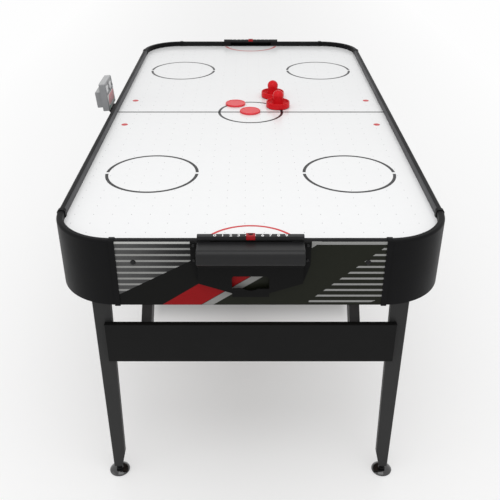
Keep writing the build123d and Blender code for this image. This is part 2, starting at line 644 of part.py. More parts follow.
SHAFT_RADIUS = 3.0
MOTOR_BOTTOM = FAN_BOTTOM + SEAT_THICKNESS
MOTOR_TOP = MOTOR_BOTTOM + 24.0
SHAFT_TOP = PANEL_BOTTOM - 6.0
with BuildPart() as blower_motor:
    with BuildSketch(Plane.XY.offset(MOTOR_BOTTOM)):
        Circle(MOTOR_RADIUS)
    extrude(amount=MOTOR_TOP - MOTOR_BOTTOM)
    fillet(blower_motor.faces().sort_by(Axis.Z)[-1].edges(), radius=2)
    with BuildSketch(Plane.XY.offset(MOTOR_TOP)):
        Circle(SHAFT_RADIUS)
    extrude(amount=SHAFT_TOP - MOTOR_TOP)
keep(blower_motor.part, "blower_motor")

HUB_BOTTOM = MOTOR_TOP + 2.0
HUB_HEIGHT = 24.0
BLADES = 7
with BuildPart() as blower_impeller:
    with BuildSketch(Plane.XY.offset(HUB_BOTTOM)):
        Circle(HUB_RADIUS)
    extrude(amount=HUB_HEIGHT)
    fillet(blower_impeller.faces().sort_by(Axis.Z)[-1].edges(), radius=4)
    # Twisted blades: steep at the hub and flatter at the tip.
    for turn in range(BLADES):
        middle = Plane(Location((0, 0, HUB_BOTTOM + HUB_HEIGHT / 2), (0, 0, 360 * turn / BLADES)))
        outward = Plane(middle.origin, middle.y_dir, middle.x_dir)
        with BuildSketch(outward.offset(HUB_RADIUS - 4)):
            Rectangle(27, 2.6, rotation=38)
        with BuildSketch(outward.offset(BLADE_TIP)):
            Rectangle(46, 2.0, rotation=22)
        loft()
    with BuildSketch(Plane.XY.offset(HUB_BOTTOM)):
        Circle(SHAFT_RADIUS + RUNNING_GAP)
    extrude(amount=HUB_HEIGHT, mode=Mode.SUBTRACT)
keep(blower_impeller.part, "blower_impeller")

# Finger guard of straight bars.
GRILLE_OPENING = 164.0
GRILLE_BARS = 9
BAR_SPACING = 16.4
GRILLE_BAR = 4.0
with BuildPart() as blower_grille:
    with BuildSketch(Plane.XY.offset(FAN_BOTTOM - GRILLE_THICKNESS)):
        RectangleRounded(FAN_SIZE, FAN_SIZE, 12)
        Rectangle(GRILLE_OPENING, GRILLE_OPENING, mode=Mode.SUBTRACT)
        with GridLocations(BAR_SPACING, 0, GRILLE_BARS, 1):
            Rectangle(GRILLE_BAR, GRILLE_OPENING + 2)
        with GridLocations(FAN_SCREWS, FAN_SCREWS, 2, 2):
            Circle(2, mode=Mode.SUBTRACT)
    extrude(amount=GRILLE_THICKNESS)
keep(blower_grille.part, "blower_grille")

blower_screw = bolt(4, 2.2, 2, FAN_HEIGHT)
blower_screws = [
    blower_screw.moved(Location((x, y, FAN_BOTTOM - GRILLE_THICKNESS), HEAD_DOWN))
    for x in (-FAN_SCREWS / 2, FAN_SCREWS / 2)
    for y in (-FAN_SCREWS / 2, FAN_SCREWS / 2)
]
keep(group(blower_screws), "blower_screws")

# Switch box beside the blower, with its rocker facing down and the mains inlet on its end.
BOX_X = 175.0
BOX_LENGTH = 80.0
BOX_WIDTH = 50.0
BOX_HEIGHT = 34.0
BOX_BOTTOM = PANEL_BOTTOM - BOX_HEIGHT
ROCKER_LENGTH = 22.0
ROCKER_WIDTH = 14.0
ROCKER_TILT = 9.0
INLET_WIDTH = 28.0
INLET_HEIGHT = 20.0
INLET_DEPTH = 16.0
BOX_WALL = 2.5
with BuildPart() as switch_box:
    with BuildSketch(Plane.XY.offset(BOX_BOTTOM)):
        with Locations((BOX_X, 0)):
            RectangleRounded(BOX_LENGTH, BOX_WIDTH, 5)
    extrude(amount=BOX_HEIGHT)
    with BuildSketch(Plane.XY.offset(BOX_BOTTOM + BOX_WALL)):
        with Locations((BOX_X, 0)):
            RectangleRounded(BOX_LENGTH - 2 * BOX_WALL, BOX_WIDTH - 2 * BOX_WALL, 3)
    extrude(amount=BOX_HEIGHT, mode=Mode.SUBTRACT)
    with BuildSketch(Plane.XY.offset(BOX_BOTTOM)):
        with Locations((BOX_X, 0)):
            Rectangle(ROCKER_LENGTH + 3.2, ROCKER_WIDTH + 0.8)
    extrude(amount=BOX_WALL, mode=Mode.SUBTRACT)
    with BuildSketch(Plane.YZ.offset(BOX_X + BOX_LENGTH / 2)):
        with Locations((0, BOX_BOTTOM + BOX_HEIGHT / 2)):
            Rectangle(INLET_WIDTH, INLET_HEIGHT)
    extrude(amount=-BOX_WALL, mode=Mode.SUBTRACT)
keep(switch_box.part, "switch_box")

ROCKER_PIVOT_Z = BOX_BOTTOM + 4.0
with BuildPart() as blower_switch:
    with BuildSketch(Plane.XZ.offset(ROCKER_WIDTH / 2)):
        with BuildLine():
            Polyline(
                (-ROCKER_LENGTH / 2, -1),
                (-ROCKER_LENGTH / 2, -6),
                (0, -4.5),
                (ROCKER_LENGTH / 2, -6),
                (ROCKER_LENGTH / 2, -1),
                (5, 4),
                (-5, 4),
                close=True,
            )
        make_face()
    extrude(amount=-ROCKER_WIDTH)
rocker_place = Location((BOX_X, 0, ROCKER_PIVOT_Z), (0, ROCKER_TILT, 0))
keep(blower_switch.part.moved(rocker_place), "blower_switch")

with BuildPart() as power_inlet:
    with BuildSketch(Plane.YZ.offset(BOX_X + BOX_LENGTH / 2 - INLET_DEPTH)):
        with Locations((0, BOX_BOTTOM + BOX_HEIGHT / 2)):
            Rectangle(INLET_WIDTH, INLET_HEIGHT)
    extrude(amount=INLET_DEPTH)
    with BuildSketch(Plane.YZ.offset(BOX_X + BOX_LENGTH / 2)):
        with Locations((0, BOX_BOTTOM + BOX_HEIGHT / 2)):
            RectangleRounded(INLET_WIDTH + 6, INLET_HEIGHT + 6, 3)
    extrude(amount=1.5)
    with BuildSketch(Plane.YZ.offset(BOX_X + BOX_LENGTH / 2 + 1.5)):
        with Locations((0, BOX_BOTTOM + BOX_HEIGHT / 2)):
            RectangleRounded(INLET_WIDTH - 4, INLET_HEIGHT - 4, 2)
            for y in (-7, 0, 7):
                with Locations((y, 0)):
                    Rectangle(1.5, 5, mode=Mode.SUBTRACT)
    extrude(amount=-13, mode=Mode.SUBTRACT)
keep(power_inlet.part, "power_inlet")

# ---- Electronic scorer beside the left rail ----
SCORER_Y = SCORER_NEAR_Y + SCORER_LENGTH / 2
SCORER_Z = SCORER_BOTTOM + SCORER_HEIGHT / 2
SCORER_WALL = 2.0
WINDOW_SPACING = 54.0
WINDOW_WIDTH = 36.0
WINDOW_HEIGHT = 28.0
WINDOW_Y = SCORER_Y - 4.0       # middle of the two windows
WINDOW_Z = SCORER_BOTTOM + 72.0
BUTTON_RADIUS = 2.5
BUTTON_Y = SCORER_Y + 21.0      # middle of the two buttons
BUTTON_Z = SCORER_BOTTOM + 62.0
BUTTON_GAP = 0.3
with BuildPart() as scorer_front:
    with BuildSketch(Plane.YZ.offset(SCORER_SPLIT_X)):
        with Locations((SCORER_Y, SCORER_Z)):
            RectangleRounded(SCORER_LENGTH, SCORER_HEIGHT, 5)
    extrude(amount=SCORER_FACE_X - SCORER_SPLIT_X)
    chamfer(scorer_front.faces().sort_by(Axis.X)[-1].edges(), length=2)
    with BuildSketch(Plane.YZ.offset(SCORER_SPLIT_X)):
        with Locations((SCORER_Y, SCORER_Z)):
            RectangleRounded(SCORER_LENGTH - 2 * SCORER_WALL, SCORER_HEIGHT - 2 * SCORER_WALL, 3)
    extrude(amount=SCORER_FACE_X - SCORER_SPLIT_X - SCORER_WALL, mode=Mode.SUBTRACT)
    with BuildSketch(Plane.YZ.offset(SCORER_FACE_X)):
        with Locations((WINDOW_Y, WINDOW_Z)):
            with GridLocations(WINDOW_SPACING, 0, 2, 1):
                RectangleRounded(WINDOW_WIDTH, WINDOW_HEIGHT, 3)
        with Locations((BUTTON_Y, BUTTON_Z)):
            with GridLocations(WINDOW_SPACING, 0, 2, 1):
                Circle(BUTTON_RADIUS + BUTTON_GAP)
    extrude(amount=-SCORER_WALL, mode=Mode.SUBTRACT)

BATTERY_LENGTH = 80.0
BATTERY_BOTTOM = PLAY_HEIGHT + 7.0
BATTERY_TOP = PLAY_HEIGHT + 61.0
BATTERY_Y = SCORER_NEAR_Y + 6.0 + BATTERY_LENGTH / 2
with BuildPart() as scorer_back:
    with BuildSketch(Plane.YZ.offset(SCORER_SPLIT_X)):
        with Locations((SCORER_Y, SCORER_Z)):
            RectangleRounded(SCORER_LENGTH, SCORER_HEIGHT, 5)
    extrude(amount=SCORER_BACK_X - SCORER_SPLIT_X)
    with BuildSketch(Plane.YZ.offset(SCORER_BACK_X)):
        with Locations((BATTERY_Y, (BATTERY_BOTTOM + BATTERY_TOP) / 2)):
            RectangleRounded(BATTERY_LENGTH, BATTERY_TOP - BATTERY_BOTTOM, 4)
    extrude(amount=BATTERY_BACK_X - SCORER_BACK_X)
    chamfer(scorer_back.faces().sort_by(Axis.X)[0].edges(), length=1.5)
    with BuildSketch(Plane.YZ.offset(SCORER_SPLIT_X)):
        with Locations((SCORER_Y, SCORER_Z)):
            RectangleRounded(SCORER_LENGTH - 2 * SCORER_WALL, SCORER_HEIGHT - 2 * SCORER_WALL, 3)
    extrude(amount=SCORER_BACK_X - SCORER_SPLIT_X + SCORER_WALL, mode=Mode.SUBTRACT)

# The whole scorer leans back about the lower edge of its face, and is set out to its full reach.
lean = Location((SCORER_FACE_X, 0, SCORER_BOTTOM), (0, -SCORER_LEAN, 0))
lean = lean * Location((-SCORER_FACE_X, 0, -SCORER_BOTTOM))
slip = SCORER_OUTER_X - scorer_back.part.moved(lean).bounding_box().min.X
lean = Location((slip, 0, 0)) * lean
keep(scorer_front.part.moved(lean), "scorer_front_shell")
keep(scorer_back.part.moved(lean), "scorer_back_shell")

with BuildPart() as scorer_windows:
    with BuildSketch(Plane.YZ.offset(SCORER_FACE_X - SCORER_WALL)):
        with Locations((WINDOW_Y, WINDOW_Z)):
            with GridLocations(WINDOW_SPACING, 0, 2, 1):
                RectangleRounded(WINDOW_WIDTH, WINDOW_HEIGHT, 3)
    extrude(amount=SCORER_WALL - 0.6)
keep(scorer_windows.part.moved(lean), "scorer_windows")

BUTTON_REACH = 2.2
BUTTON_SEAT = 5.0
with BuildPart() as scorer_button:
    with BuildSketch(Plane.YZ.offset(SCORER_FACE_X - BUTTON_SEAT)):
        with Locations((BUTTON_Y - WINDOW_SPACING / 2, BUTTON_Z)):
            Circle(BUTTON_RADIUS)
    extrude(amount=BUTTON_SEAT + BUTTON_REACH)
    chamfer(scorer_button.faces().sort_by(Axis.X)[-1].edges(), length=0.8)
    with BuildSketch(Plane.YZ.offset(SCORER_FACE_X - BUTTON_SEAT)):
        with Locations((BUTTON_Y - WINDOW_SPACING / 2, BUTTON_Z)):
            Circle(BUTTON_RADIUS + 1.2)
    extrude(amount=1.5)
keep(scorer_button.part.moved(lean), "scorer_button_near")
keep(scorer_button.part.moved(lean * Location((0, WINDOW_SPACING, 0))), "scorer_button_far")

BRACKET_THICKNESS = 3.0
BRACKET_DROP = 48.0
BRACKET_FACE_X = -HALF_WIDTH - BRACKET_THICKNESS


def seat_point(x, below):
    """Point under the scorer's leaning underside at x."""
    rise = (x - SCORER_FACE_X - slip) * math.tan(math.radians(SCORER_LEAN))
    return (x, SCORER_BOTTOM + rise - below)


with BuildPart() as scorer_bracket:
    with BuildSketch(Plane.XZ.offset(-(BRACKET_Y - BRACKET_WIDTH / 2))):
        with BuildLine():
            Polyline(
                seat_point(-HALF_WIDTH, 0),
                seat_point(SCORER_BACK_X + 3, 0),
                seat_point(SCORER_BACK_X + 3, BRACKET_THICKNESS),
                seat_point(BRACKET_FACE_X, BRACKET_THICKNESS),
                (BRACKET_FACE_X, SCORER_BOTTOM - BRACKET_DROP),
                (-HALF_WIDTH, SCORER_BOTTOM - BRACKET_DROP),
                close=True,
            )
        make_face()
    extrude(amount=-BRACKET_WIDTH)
    for y in (BRACKET_Y - BRACKET_WIDTH / 2, BRACKET_Y + BRACKET_WIDTH / 2 - 3):
        with BuildSketch(Plane.XZ.offset(-y)):
            with BuildLine():
                Polyline(
                    seat_point(BRACKET_FACE_X, BRACKET_THICKNESS),
                    seat_point(SCORER_BACK_X + 8, BRACKET_THICKNESS),
                    (BRACKET_FACE_X, SCORER_BOTTOM - BRACKET_DROP + 4),
                    close=True,
                )
            make_face()
        extrude(amount=-3)
    with BuildSketch(Plane.YZ.offset(-HALF_WIDTH)):
        with Locations(*BRACKET_HOLES):
            Circle(SCREW_RADIUS)
    extrude(amount=-BRACKET_THICKNESS, mode=Mode.SUBTRACT)
keep(scorer_bracket.part, "scorer_bracket")

# ---- Fasteners of the cabinet ----
apron_bolt = bolt(6, 3.5, APRON_BOLT_RADIUS, WALL + BEAM_THICKNESS)
rear_bolts = [
    apron_bolt.moved(Location((x, HALF_LENGTH, BOLT_HEIGHT), HEAD_TO_REAR)) for x in (-BOLT_X, BOLT_X)
]
front_bolts = [
    apron_bolt.moved(Location((x, -HALF_LENGTH, BOLT_HEIGHT), HEAD_TO_FRONT)) for x in (-BOLT_X, BOLT_X)
]
keep(group(rear_bolts + front_bolts), "apron_bolts")

# One kind of wood screw holds the goal boxes and the scorer's bracket.
wood_screw = bolt(4, 2.2, SCREW_RADIUS, SCREW_LENGTH)
wood_screws = [
    wood_screw.moved(Location((-HALF_WIDTH - BRACKET_THICKNESS, y, z), HEAD_TO_LEFT))
    for y, z in BRACKET_HOLES
]
for x, z in GOAL_SCREWS:
    screw = wood_screw.moved(Location((x, HALF_LENGTH + FLANGE_THICKNESS, z), HEAD_TO_REAR))
    wood_screws += four_ways(screw)
keep(group(wood_screws), "wood_screws")

leg_bolt = bolt(6, 3.5, LEG_BOLT_RADIUS, LEG_THICKNESS + LEG_BOLT_BITE)
leg_bolt_spots = [(LEG_BOLT_X, z) for z in LEG_BOLT_HEIGHTS] + [(BOARD_BOLT_X, z) for z in BOARD_BOLT_HEIGHTS]
leg_bolts = []
for x, z in leg_bolt_spots:
    leg_bolts += four_ways(leg_bolt.moved(Location((x, LEG_OUTER_Y - LEG_THICKNESS, z), HEAD_TO_FRONT)))
keep(group(leg_bolts), "leg_bolts")

# ---- Pucks and pushers, where they lie at rest ----
with BuildPart() as puck:
    with BuildSketch(Plane.XY.offset(PLAY_HEIGHT)):
        Circle(PUCK_RADIUS)
    extrude(amount=PUCK_THICKNESS)
    with BuildSketch(Plane.XY.offset(PLAY_HEIGHT + PUCK_THICKNESS)):
        Circle(PUCK_RADIUS - 5)
    extrude(amount=-0.6, mode=Mode.SUBTRACT)
    rims = puck.edges().filter_by(GeomType.CIRCLE).group_by(SortBy.RADIUS)[-1]
    chamfer(rims, length=1.2)
keep(puck.part.moved(Location((-52, 80, 0))), "puck_far")
keep(puck.part.moved(Location((-2, 1, 0))), "puck_near")

PAD_THICKNESS = 1.5
PUSHER_HEIGHT = 58.0
RIM_HEIGHT = 20.0
KNOB_RADIUS = 18.5
KNOB_CENTER = PUSHER_HEIGHT - KNOB_RADIUS
with BuildPart() as pusher_pad:
    with BuildSketch(Plane.XY.offset(PLAY_HEIGHT)):
        Circle(PUSHER_RADIUS - 2)
    extrude(amount=PAD_THICKNESS)

with BuildPart() as pusher:
    with BuildSketch(Plane.XZ):
        with BuildLine():
            Line((0, PAD_THICKNESS), (PUSHER_RADIUS - 1.5, PAD_THICKNESS))
            Line((PUSHER_RADIUS - 1.5, PAD_THICKNESS), (PUSHER_RADIUS, PAD_THICKNESS + 1.5))
            Line((PUSHER_RADIUS, PAD_THICKNESS + 1.5), (PUSHER_RADIUS - 0.6, RIM_HEIGHT - 2))
            ThreePointArc(
                (PUSHER_RADIUS - 0.6, RIM_HEIGHT - 2),
                (PUSHER_RADIUS - 2.4, RIM_HEIGHT),
                (PUSHER_RADIUS - 4.4, RIM_HEIGHT - 1.6),
            )
            ThreePointArc((PUSHER_RADIUS - 4.4, RIM_HEIGHT - 1.6), (30, 9.5), (KNOB_RADIUS - 1, 9))
            ThreePointArc((KNOB_RADIUS - 1, 9), (KNOB_RADIUS - 2.2, 24), (KNOB_RADIUS, KNOB_CENTER))
            CenterArc((0, KNOB_CENTER), KNOB_RADIUS, 0, 90)
            Line((0, PUSHER_HEIGHT), (0, PAD_THICKNESS))
        make_face()
    revolve(axis=Axis.Z)

for name, x, y in (("front", 93, 55), ("rear", 78, 168)):
    keep(pusher.part.moved(Location((x, y, PLAY_HEIGHT))), f"pusher_{name}")
    keep(pusher_pad.part.moved(Location((x, y, 0))), f"pusher_pad_{name}")
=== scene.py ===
# %% [markdown]
# # A six-foot air hockey table
# The frame holds every rigid piece at its real size, in metres: X across the table, Y along it and Z up.
# This file gives each piece its finish, adds what is only printed or drilled on it, and lights it.
# Places come from the frame's own boxes, so a piece that moves in the model moves here too.

import math

import bmesh
import bpy
from mathutils import Matrix, Vector


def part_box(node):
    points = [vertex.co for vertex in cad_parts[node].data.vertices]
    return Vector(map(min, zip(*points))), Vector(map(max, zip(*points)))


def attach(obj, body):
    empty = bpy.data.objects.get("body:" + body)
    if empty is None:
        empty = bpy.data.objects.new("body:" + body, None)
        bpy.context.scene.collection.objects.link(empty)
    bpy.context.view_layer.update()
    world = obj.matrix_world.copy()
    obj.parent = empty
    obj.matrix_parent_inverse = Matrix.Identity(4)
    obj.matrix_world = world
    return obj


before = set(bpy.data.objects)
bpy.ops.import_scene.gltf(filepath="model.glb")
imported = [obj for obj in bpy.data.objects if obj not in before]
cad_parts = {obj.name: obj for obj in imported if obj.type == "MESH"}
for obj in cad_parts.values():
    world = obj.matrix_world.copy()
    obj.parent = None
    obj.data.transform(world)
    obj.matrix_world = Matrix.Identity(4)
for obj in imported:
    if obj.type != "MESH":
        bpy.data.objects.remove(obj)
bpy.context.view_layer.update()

# %% [markdown]
# ## Where things are
# A few lines read from the frame place everything below: the middle of the playing surface, its height,
# and the outer faces of the end aprons. A small unit makes sizes readable in millimetres.

# %% Driving places
MM = 0.001
field_low, field_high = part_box("playfield")
apron_low, apron_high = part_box("end_apron_rear")
rail_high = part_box("end_rails_rear")[1]
MIDDLE_X = (field_low[0] + field_high[0]) / 2
SURFACE_Z = field_high[2]
END_Y = apron_high[1]
print("surface at", round(SURFACE_Z, 4), "m, ends at", round(END_Y, 4), "m")

# %% [markdown]
# ## Colours
# A colour chart gives paint in steps of 0 to 255, while the renderer works in linear light. One helper
# turns the first into the second, so that each finish below is written the way a maker would read it.


# %% Colour helper
def paint(red, green, blue):
    """Linear colour of a paint given in chart values from 0 to 255."""
    def linear(step):
        part = step / 255
        return part / 12.92 if part <= 0.04045 else ((part + 0.055) / 1.055) ** 2.4
    return (linear(red), linear(green), linear(blue), 1.0)


print("mid grey is", [round(c, 3) for c in paint(128, 128, 128)])

# %% [markdown]
# ## Three effects that several finishes share
# Moulded plastic, foil and paint all have a fine grain, faint smudges from handling, and a little dust.
# The material decides what the mask does to its own colour or gloss.


# %% Node helpers
def add_node(tree, kind, **settings):
    """Add a node and set its plain properties."""
    node = tree.nodes.new(kind)
    for name, value in settings.items():
        setattr(node, name, value)
    return node


def new_group(name, inputs, outputs):
    """Empty shader group with float inputs and one vector input, and its two end nodes."""
    tree = bpy.data.node_groups.new(name, "ShaderNodeTree")
    tree.interface.new_socket("Vector", in_out="INPUT", socket_type="NodeSocketVector")
    for title, value in inputs.items():
        socket = tree.interface.new_socket(title, in_out="INPUT", socket_type="NodeSocketFloat")
        socket.default_value = value
    for title in outputs:
        tree.interface.new_socket(title, in_out="OUTPUT", socket_type="NodeSocketFloat")
    start = tree.nodes.new("NodeGroupInput")
    end = tree.nodes.new("NodeGroupOutput")
    return tree, start, end


def soft_edge(tree, place, axis, middle, none, full):
    """Mask by distance from a middle along one axis: 0 at the distance none, 1 at the distance full."""
    parts = add_node(tree, "ShaderNodeSeparateXYZ")
    offset = add_node(tree, "ShaderNodeMath", operation="SUBTRACT")
    offset.inputs[1].default_value = middle
    away = add_node(tree, "ShaderNodeMath", operation="ABSOLUTE")
    edge = add_node(tree, "ShaderNodeMapRange", interpolation_type="SMOOTHSTEP")
    edge.inputs["From Min"].default_value = none
    edge.inputs["From Max"].default_value = full
    tree.links.new(place, parts.inputs[0])
    tree.links.new(parts.outputs[axis], offset.inputs[0])
    tree.links.new(offset.outputs[0], away.inputs[0])
    tree.links.new(away.outputs[0], edge.inputs["Value"])
    return edge.outputs["Result"]


print("node helpers ready")

# %% Moulded grain: a height for bumps and a mask for colour
grain_group, start, end = new_group("moulded_grain", {"Size": 0.8, "Softness": 0.5}, ["Height", "Mask"])
per_metre = add_node(grain_group, "ShaderNodeMath", operation="DIVIDE")
per_metre.inputs[0].default_value = 1000.0
fine = add_node(grain_group, "ShaderNodeTexNoise")
fine.inputs["Detail"].default_value = 2.0
coarse = add_node(grain_group, "ShaderNodeTexNoise")
coarse.inputs["Scale"].default_value = 45.0
coarse.inputs["Detail"].default_value = 4.0
blend = add_node(grain_group, "ShaderNodeMix", data_type="FLOAT")
grain_group.links.new(start.outputs["Size"], per_metre.inputs[1])
grain_group.links.new(per_metre.outputs[0], fine.inputs["Scale"])
grain_group.links.new(start.outputs["Vector"], fine.inputs["Vector"])
grain_group.links.new(start.outputs["Vector"], coarse.inputs["Vector"])
grain_group.links.new(start.outputs["Softness"], blend.inputs["Factor"])
grain_group.links.new(fine.outputs[0], blend.inputs["A"])
grain_group.links.new(coarse.outputs[0], blend.inputs["B"])
grain_group.links.new(fine.outputs[0], end.inputs["Height"])
grain_group.links.new(blend.outputs["Result"], end.inputs["Mask"])
print("group:", grain_group.name)

# %% Smudges: broad soft patches where hands and cloths have passed
smudge_group, start, end = new_group("handling_smudges", {"Scale": 7.0, "Contrast": 0.35}, ["Mask"])
cloud = add_node(smudge_group, "ShaderNodeTexNoise")
cloud.inputs["Detail"].default_value = 5.0
cloud.inputs["Distortion"].default_value = 0.6
shape = add_node(smudge_group, "ShaderNodeMapRange", interpolation_type="SMOOTHSTEP")
low_edge = add_node(smudge_group, "ShaderNodeMath", operation="SUBTRACT")
high_edge = add_node(smudge_group, "ShaderNodeMath", operation="ADD")
low_edge.inputs[0].default_value = 0.5
high_edge.inputs[0].default_value = 0.5
for edge, socket in ((low_edge, "From Min"), (high_edge, "From Max")):
    smudge_group.links.new(start.outputs["Contrast"], edge.inputs[1])
    smudge_group.links.new(edge.outputs[0], shape.inputs[socket])
smudge_group.links.new(start.outputs["Vector"], cloud.inputs["Vector"])
smudge_group.links.new(start.outputs["Scale"], cloud.inputs["Scale"])
smudge_group.links.new(cloud.outputs[0], shape.inputs["Value"])
smudge_group.links.new(shape.outputs["Result"], end.inputs["Mask"])
print("group:", smudge_group.name)

# %% Specks: fine dust and flecks, as a mask
speck_group, start, end = new_group("fine_specks", {"Scale": 260.0, "Amount": 0.12}, ["Mask"])
cells = add_node(speck_group, "ShaderNodeTexVoronoi")
near = add_node(speck_group, "ShaderNodeMath", operation="LESS_THAN")
speck_group.links.new(start.outputs["Vector"], cells.inputs["Vector"])
speck_group.links.new(start.outputs["Scale"], cells.inputs["Scale"])
speck_group.links.new(cells.outputs["Distance"], near.inputs[0])
speck_group.links.new(start.outputs["Amount"], near.inputs[1])
speck_group.links.new(near.outputs[0], end.inputs["Mask"])
print("group:", speck_group.name)

# %% [markdown]
# ## One recipe for a finish
# Each finish has two close colours that the grain mixes, a gloss that the smudges change a little, and
# a shallow bump from the grain. Sizes of the grain and depth of the bump are what tell foil, moulded
# plastic, board and paint apart. Gloss and coat are set on the shader itself.


# %% Finish recipe
def use_group(tree, group, source, **values):
    """Place a shared effect in a material, fed by that material's coordinates."""
    node = add_node(tree, "ShaderNodeGroup", node_tree=group)
    tree.links.new(source, node.inputs["Vector"])
    for name, value in values.items():
        node.inputs[name].default_value = value
    return node


def finish(
    name, light, dark, gloss,
    grain=0.8, bump=0.05, spread=0.06, coat=0.0, metal=0.0, smudge=7.0, shine=0.5,
):
    """Procedural material. gloss is the middle roughness and spread how far smudges change it."""
    material = bpy.data.materials.new(name)
    material.use_nodes = True
    tree = material.node_tree
    shader = tree.nodes["Principled BSDF"]
    place = add_node(tree, "ShaderNodeTexCoord").outputs["Object"]
    grains = use_group(tree, grain_group, place, Size=grain, Softness=0.5)
    smudges = use_group(tree, smudge_group, place, Scale=smudge, Contrast=0.3)
    mix = add_node(tree, "ShaderNodeMix", data_type="RGBA")
    mix.inputs["A"].default_value = dark
    mix.inputs["B"].default_value = light
    tree.links.new(grains.outputs["Mask"], mix.inputs["Factor"])
    tree.links.new(mix.outputs["Result"], shader.inputs["Base Color"])
    gloss_range = add_node(tree, "ShaderNodeMapRange")
    gloss_range.inputs["To Min"].default_value = gloss - spread
    gloss_range.inputs["To Max"].default_value = gloss + spread
    tree.links.new(smudges.outputs["Mask"], gloss_range.inputs["Value"])
    tree.links.new(gloss_range.outputs["Result"], shader.inputs["Roughness"])
    relief = add_node(tree, "ShaderNodeBump")
    relief.inputs["Strength"].default_value = bump
    relief.inputs["Distance"].default_value = 0.0005
    tree.links.new(grains.outputs["Height"], relief.inputs["Height"])
    tree.links.new(relief.outputs["Normal"], shader.inputs["Normal"])
    shader.inputs["Metallic"].default_value = metal
    shader.inputs["Specular IOR Level"].default_value = shine
    shader.inputs["Coat Weight"].default_value = coat
    shader.inputs["Coat Roughness"].default_value = 0.08
    return material


def own_place(material):
    """The coordinates that a finish already uses."""
    return next(n for n in material.node_tree.nodes if n.type == "TEX_COORD").outputs["Object"]


def lay_over(material, colour, mask):
    """Lay a second colour over a finish where the mask is 1."""
    tree = material.node_tree
    base = tree.nodes["Principled BSDF"].inputs["Base Color"]
    mix = add_node(tree, "ShaderNodeMix", data_type="RGBA")
    mix.inputs["B"].default_value = colour
    tree.links.new(mask, mix.inputs["Factor"])
    tree.links.new(base.links[0].from_socket, mix.inputs["A"])
    tree.links.new(mix.outputs["Result"], base)


def wear(material, dust, amount=0.1, scale=260.0, weight=0.5):
    """Scatter specks of a second colour over a finish."""
    tree = material.node_tree
    specks = use_group(tree, speck_group, own_place(material), Scale=scale, Amount=amount)
    share = add_node(tree, "ShaderNodeMath", operation="MULTIPLY")
    share.inputs[1].default_value = weight
    tree.links.new(specks.outputs["Mask"], share.inputs[0])
    lay_over(material, dust, share.outputs[0])


def dress(material, *nodes):
    """Give CAD nodes their finish."""
    for node in nodes:
        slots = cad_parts[node].data.materials
        slots.clear()
        slots.append(material)


def dress_where(test, material, *nodes):
    """Give the faces that pass a test a second finish."""
    for node in nodes:
        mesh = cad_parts[node].data
        mesh.materials.append(material)
        for face in mesh.polygons:
            if test(face):
                face.material_index = len(mesh.materials) - 1


def both(name):
    """The two ends' nodes of one kind."""
    return [f"{name}_front", f"{name}_rear"]


def corners(name):
    """The four corners' nodes of one kind."""
    return [f"{name}_{end}_{side}" for end in ("front", "rear") for side in ("left", "right")]


print("finish recipe ready")

# %% [markdown]
# ## The playing surface
# A thin melamine laminate over board, white with a slight warm haze and a satin shine. Large soft
# smudges in the gloss are what the eye reads as a real sheet. A pattern of faint scuffs could be drawn
# as an image, but noise stretched along the table does it without one.

# %% White laminate
laminate = finish(
    "white_laminate", paint(240, 240, 240), paint(235, 236, 237), 0.22,
    grain=2.5, bump=0.01, spread=0.06, smudge=3.0,
)
wear(laminate, paint(206, 206, 206), amount=0.05, scale=140.0, weight=0.35)
dress(laminate, "playfield")
print("laminate on the playfield")

# %% [markdown]
# ## Black pieces
# Several close blacks make the table: satin foil on the rails, grained moulded plastic at the corners,
# a smoother one on the goal boxes and score bars, charcoal foil on the legs, deeper foils on boards and
# aprons, and a dark grey on the braces. A few steps of colour and gloss let the light separate them.
# Rails and goal boxes have two finishes: a test picks the faces of the second one by where they lie or
# which way they look. On the rails the second is a lighter copy of the foil, painted light on the wall
# that faces the bright playing surface. On the goal boxes it is a darker copy, painted shade under and
# beside the hood.

# %% Rails, with a greyer wall towards the playing surface, which is painted light
rail_foil = finish(
    "rail_foil", paint(29, 29, 30), paint(22, 22, 23), 0.46,
    grain=1.2, bump=0.04, spread=0.07, shine=0.07,
)
dress(rail_foil, "side_rail_left", "side_rail_right", *both("end_rails"))
lit_rail_wall = finish(
    "lit_rail_wall", paint(80, 80, 82), paint(72, 72, 74), 0.46,
    grain=1.2, bump=0.04, spread=0.07, shine=0.1,
)


def faces_the_field(face):
    """True for the inner wall of a side rail and its rounded upper edge."""
    return face.normal.x * (MIDDLE_X - face.center.x) > 0 and abs(face.normal.x) > 0.4


# The inner wall and its rounded edge get a lighter copy of the rail foil: painted light from the bright
# playing surface.
dress_where(faces_the_field, lit_rail_wall, "side_rail_left", "side_rail_right")
print("rails ready")

# %% Corners, goal boxes and score bars
moulded_black = finish(
    "moulded_black", paint(20, 20, 21), paint(14, 14, 15), 0.42,
    grain=0.7, bump=0.12, spread=0.06, shine=0.07,
)
wear(moulded_black, paint(60, 60, 60), amount=0.06, scale=300.0, weight=0.2)
dress(moulded_black, *corners("corner"))
satin_black = finish(
    "satin_black", paint(29, 29, 30), paint(22, 22, 23), 0.32,
    grain=0.6, bump=0.06, spread=0.06, shine=0.24,
)
dress(satin_black, *both("goal_box"), *both("score_bar"))
# A darker copy of the satin black is painted shade on the goal box's pocket, underside and flanges, under
# and beside the hood.
pocket_painted_shade = finish(
    "pocket_painted_shade", paint(19, 19, 19), paint(15, 15, 15), 0.50,
    grain=0.6, bump=0.08, spread=0.05, shine=0.07,
)
HOOD_HALF = 119.5 * MM
HOOD_FOOT = SURFACE_Z - 18 * MM


def off_the_hood(face):
    """True for the goal box's pocket, underside and side flanges."""
    return face.center.z < HOOD_FOOT or abs(face.center.x - MIDDLE_X) > HOOD_HALF


# Faces off the hood get the darker copy: painted shade.
dress_where(off_the_hood, pocket_painted_shade, *both("goal_box"))
print("mouldings ready")

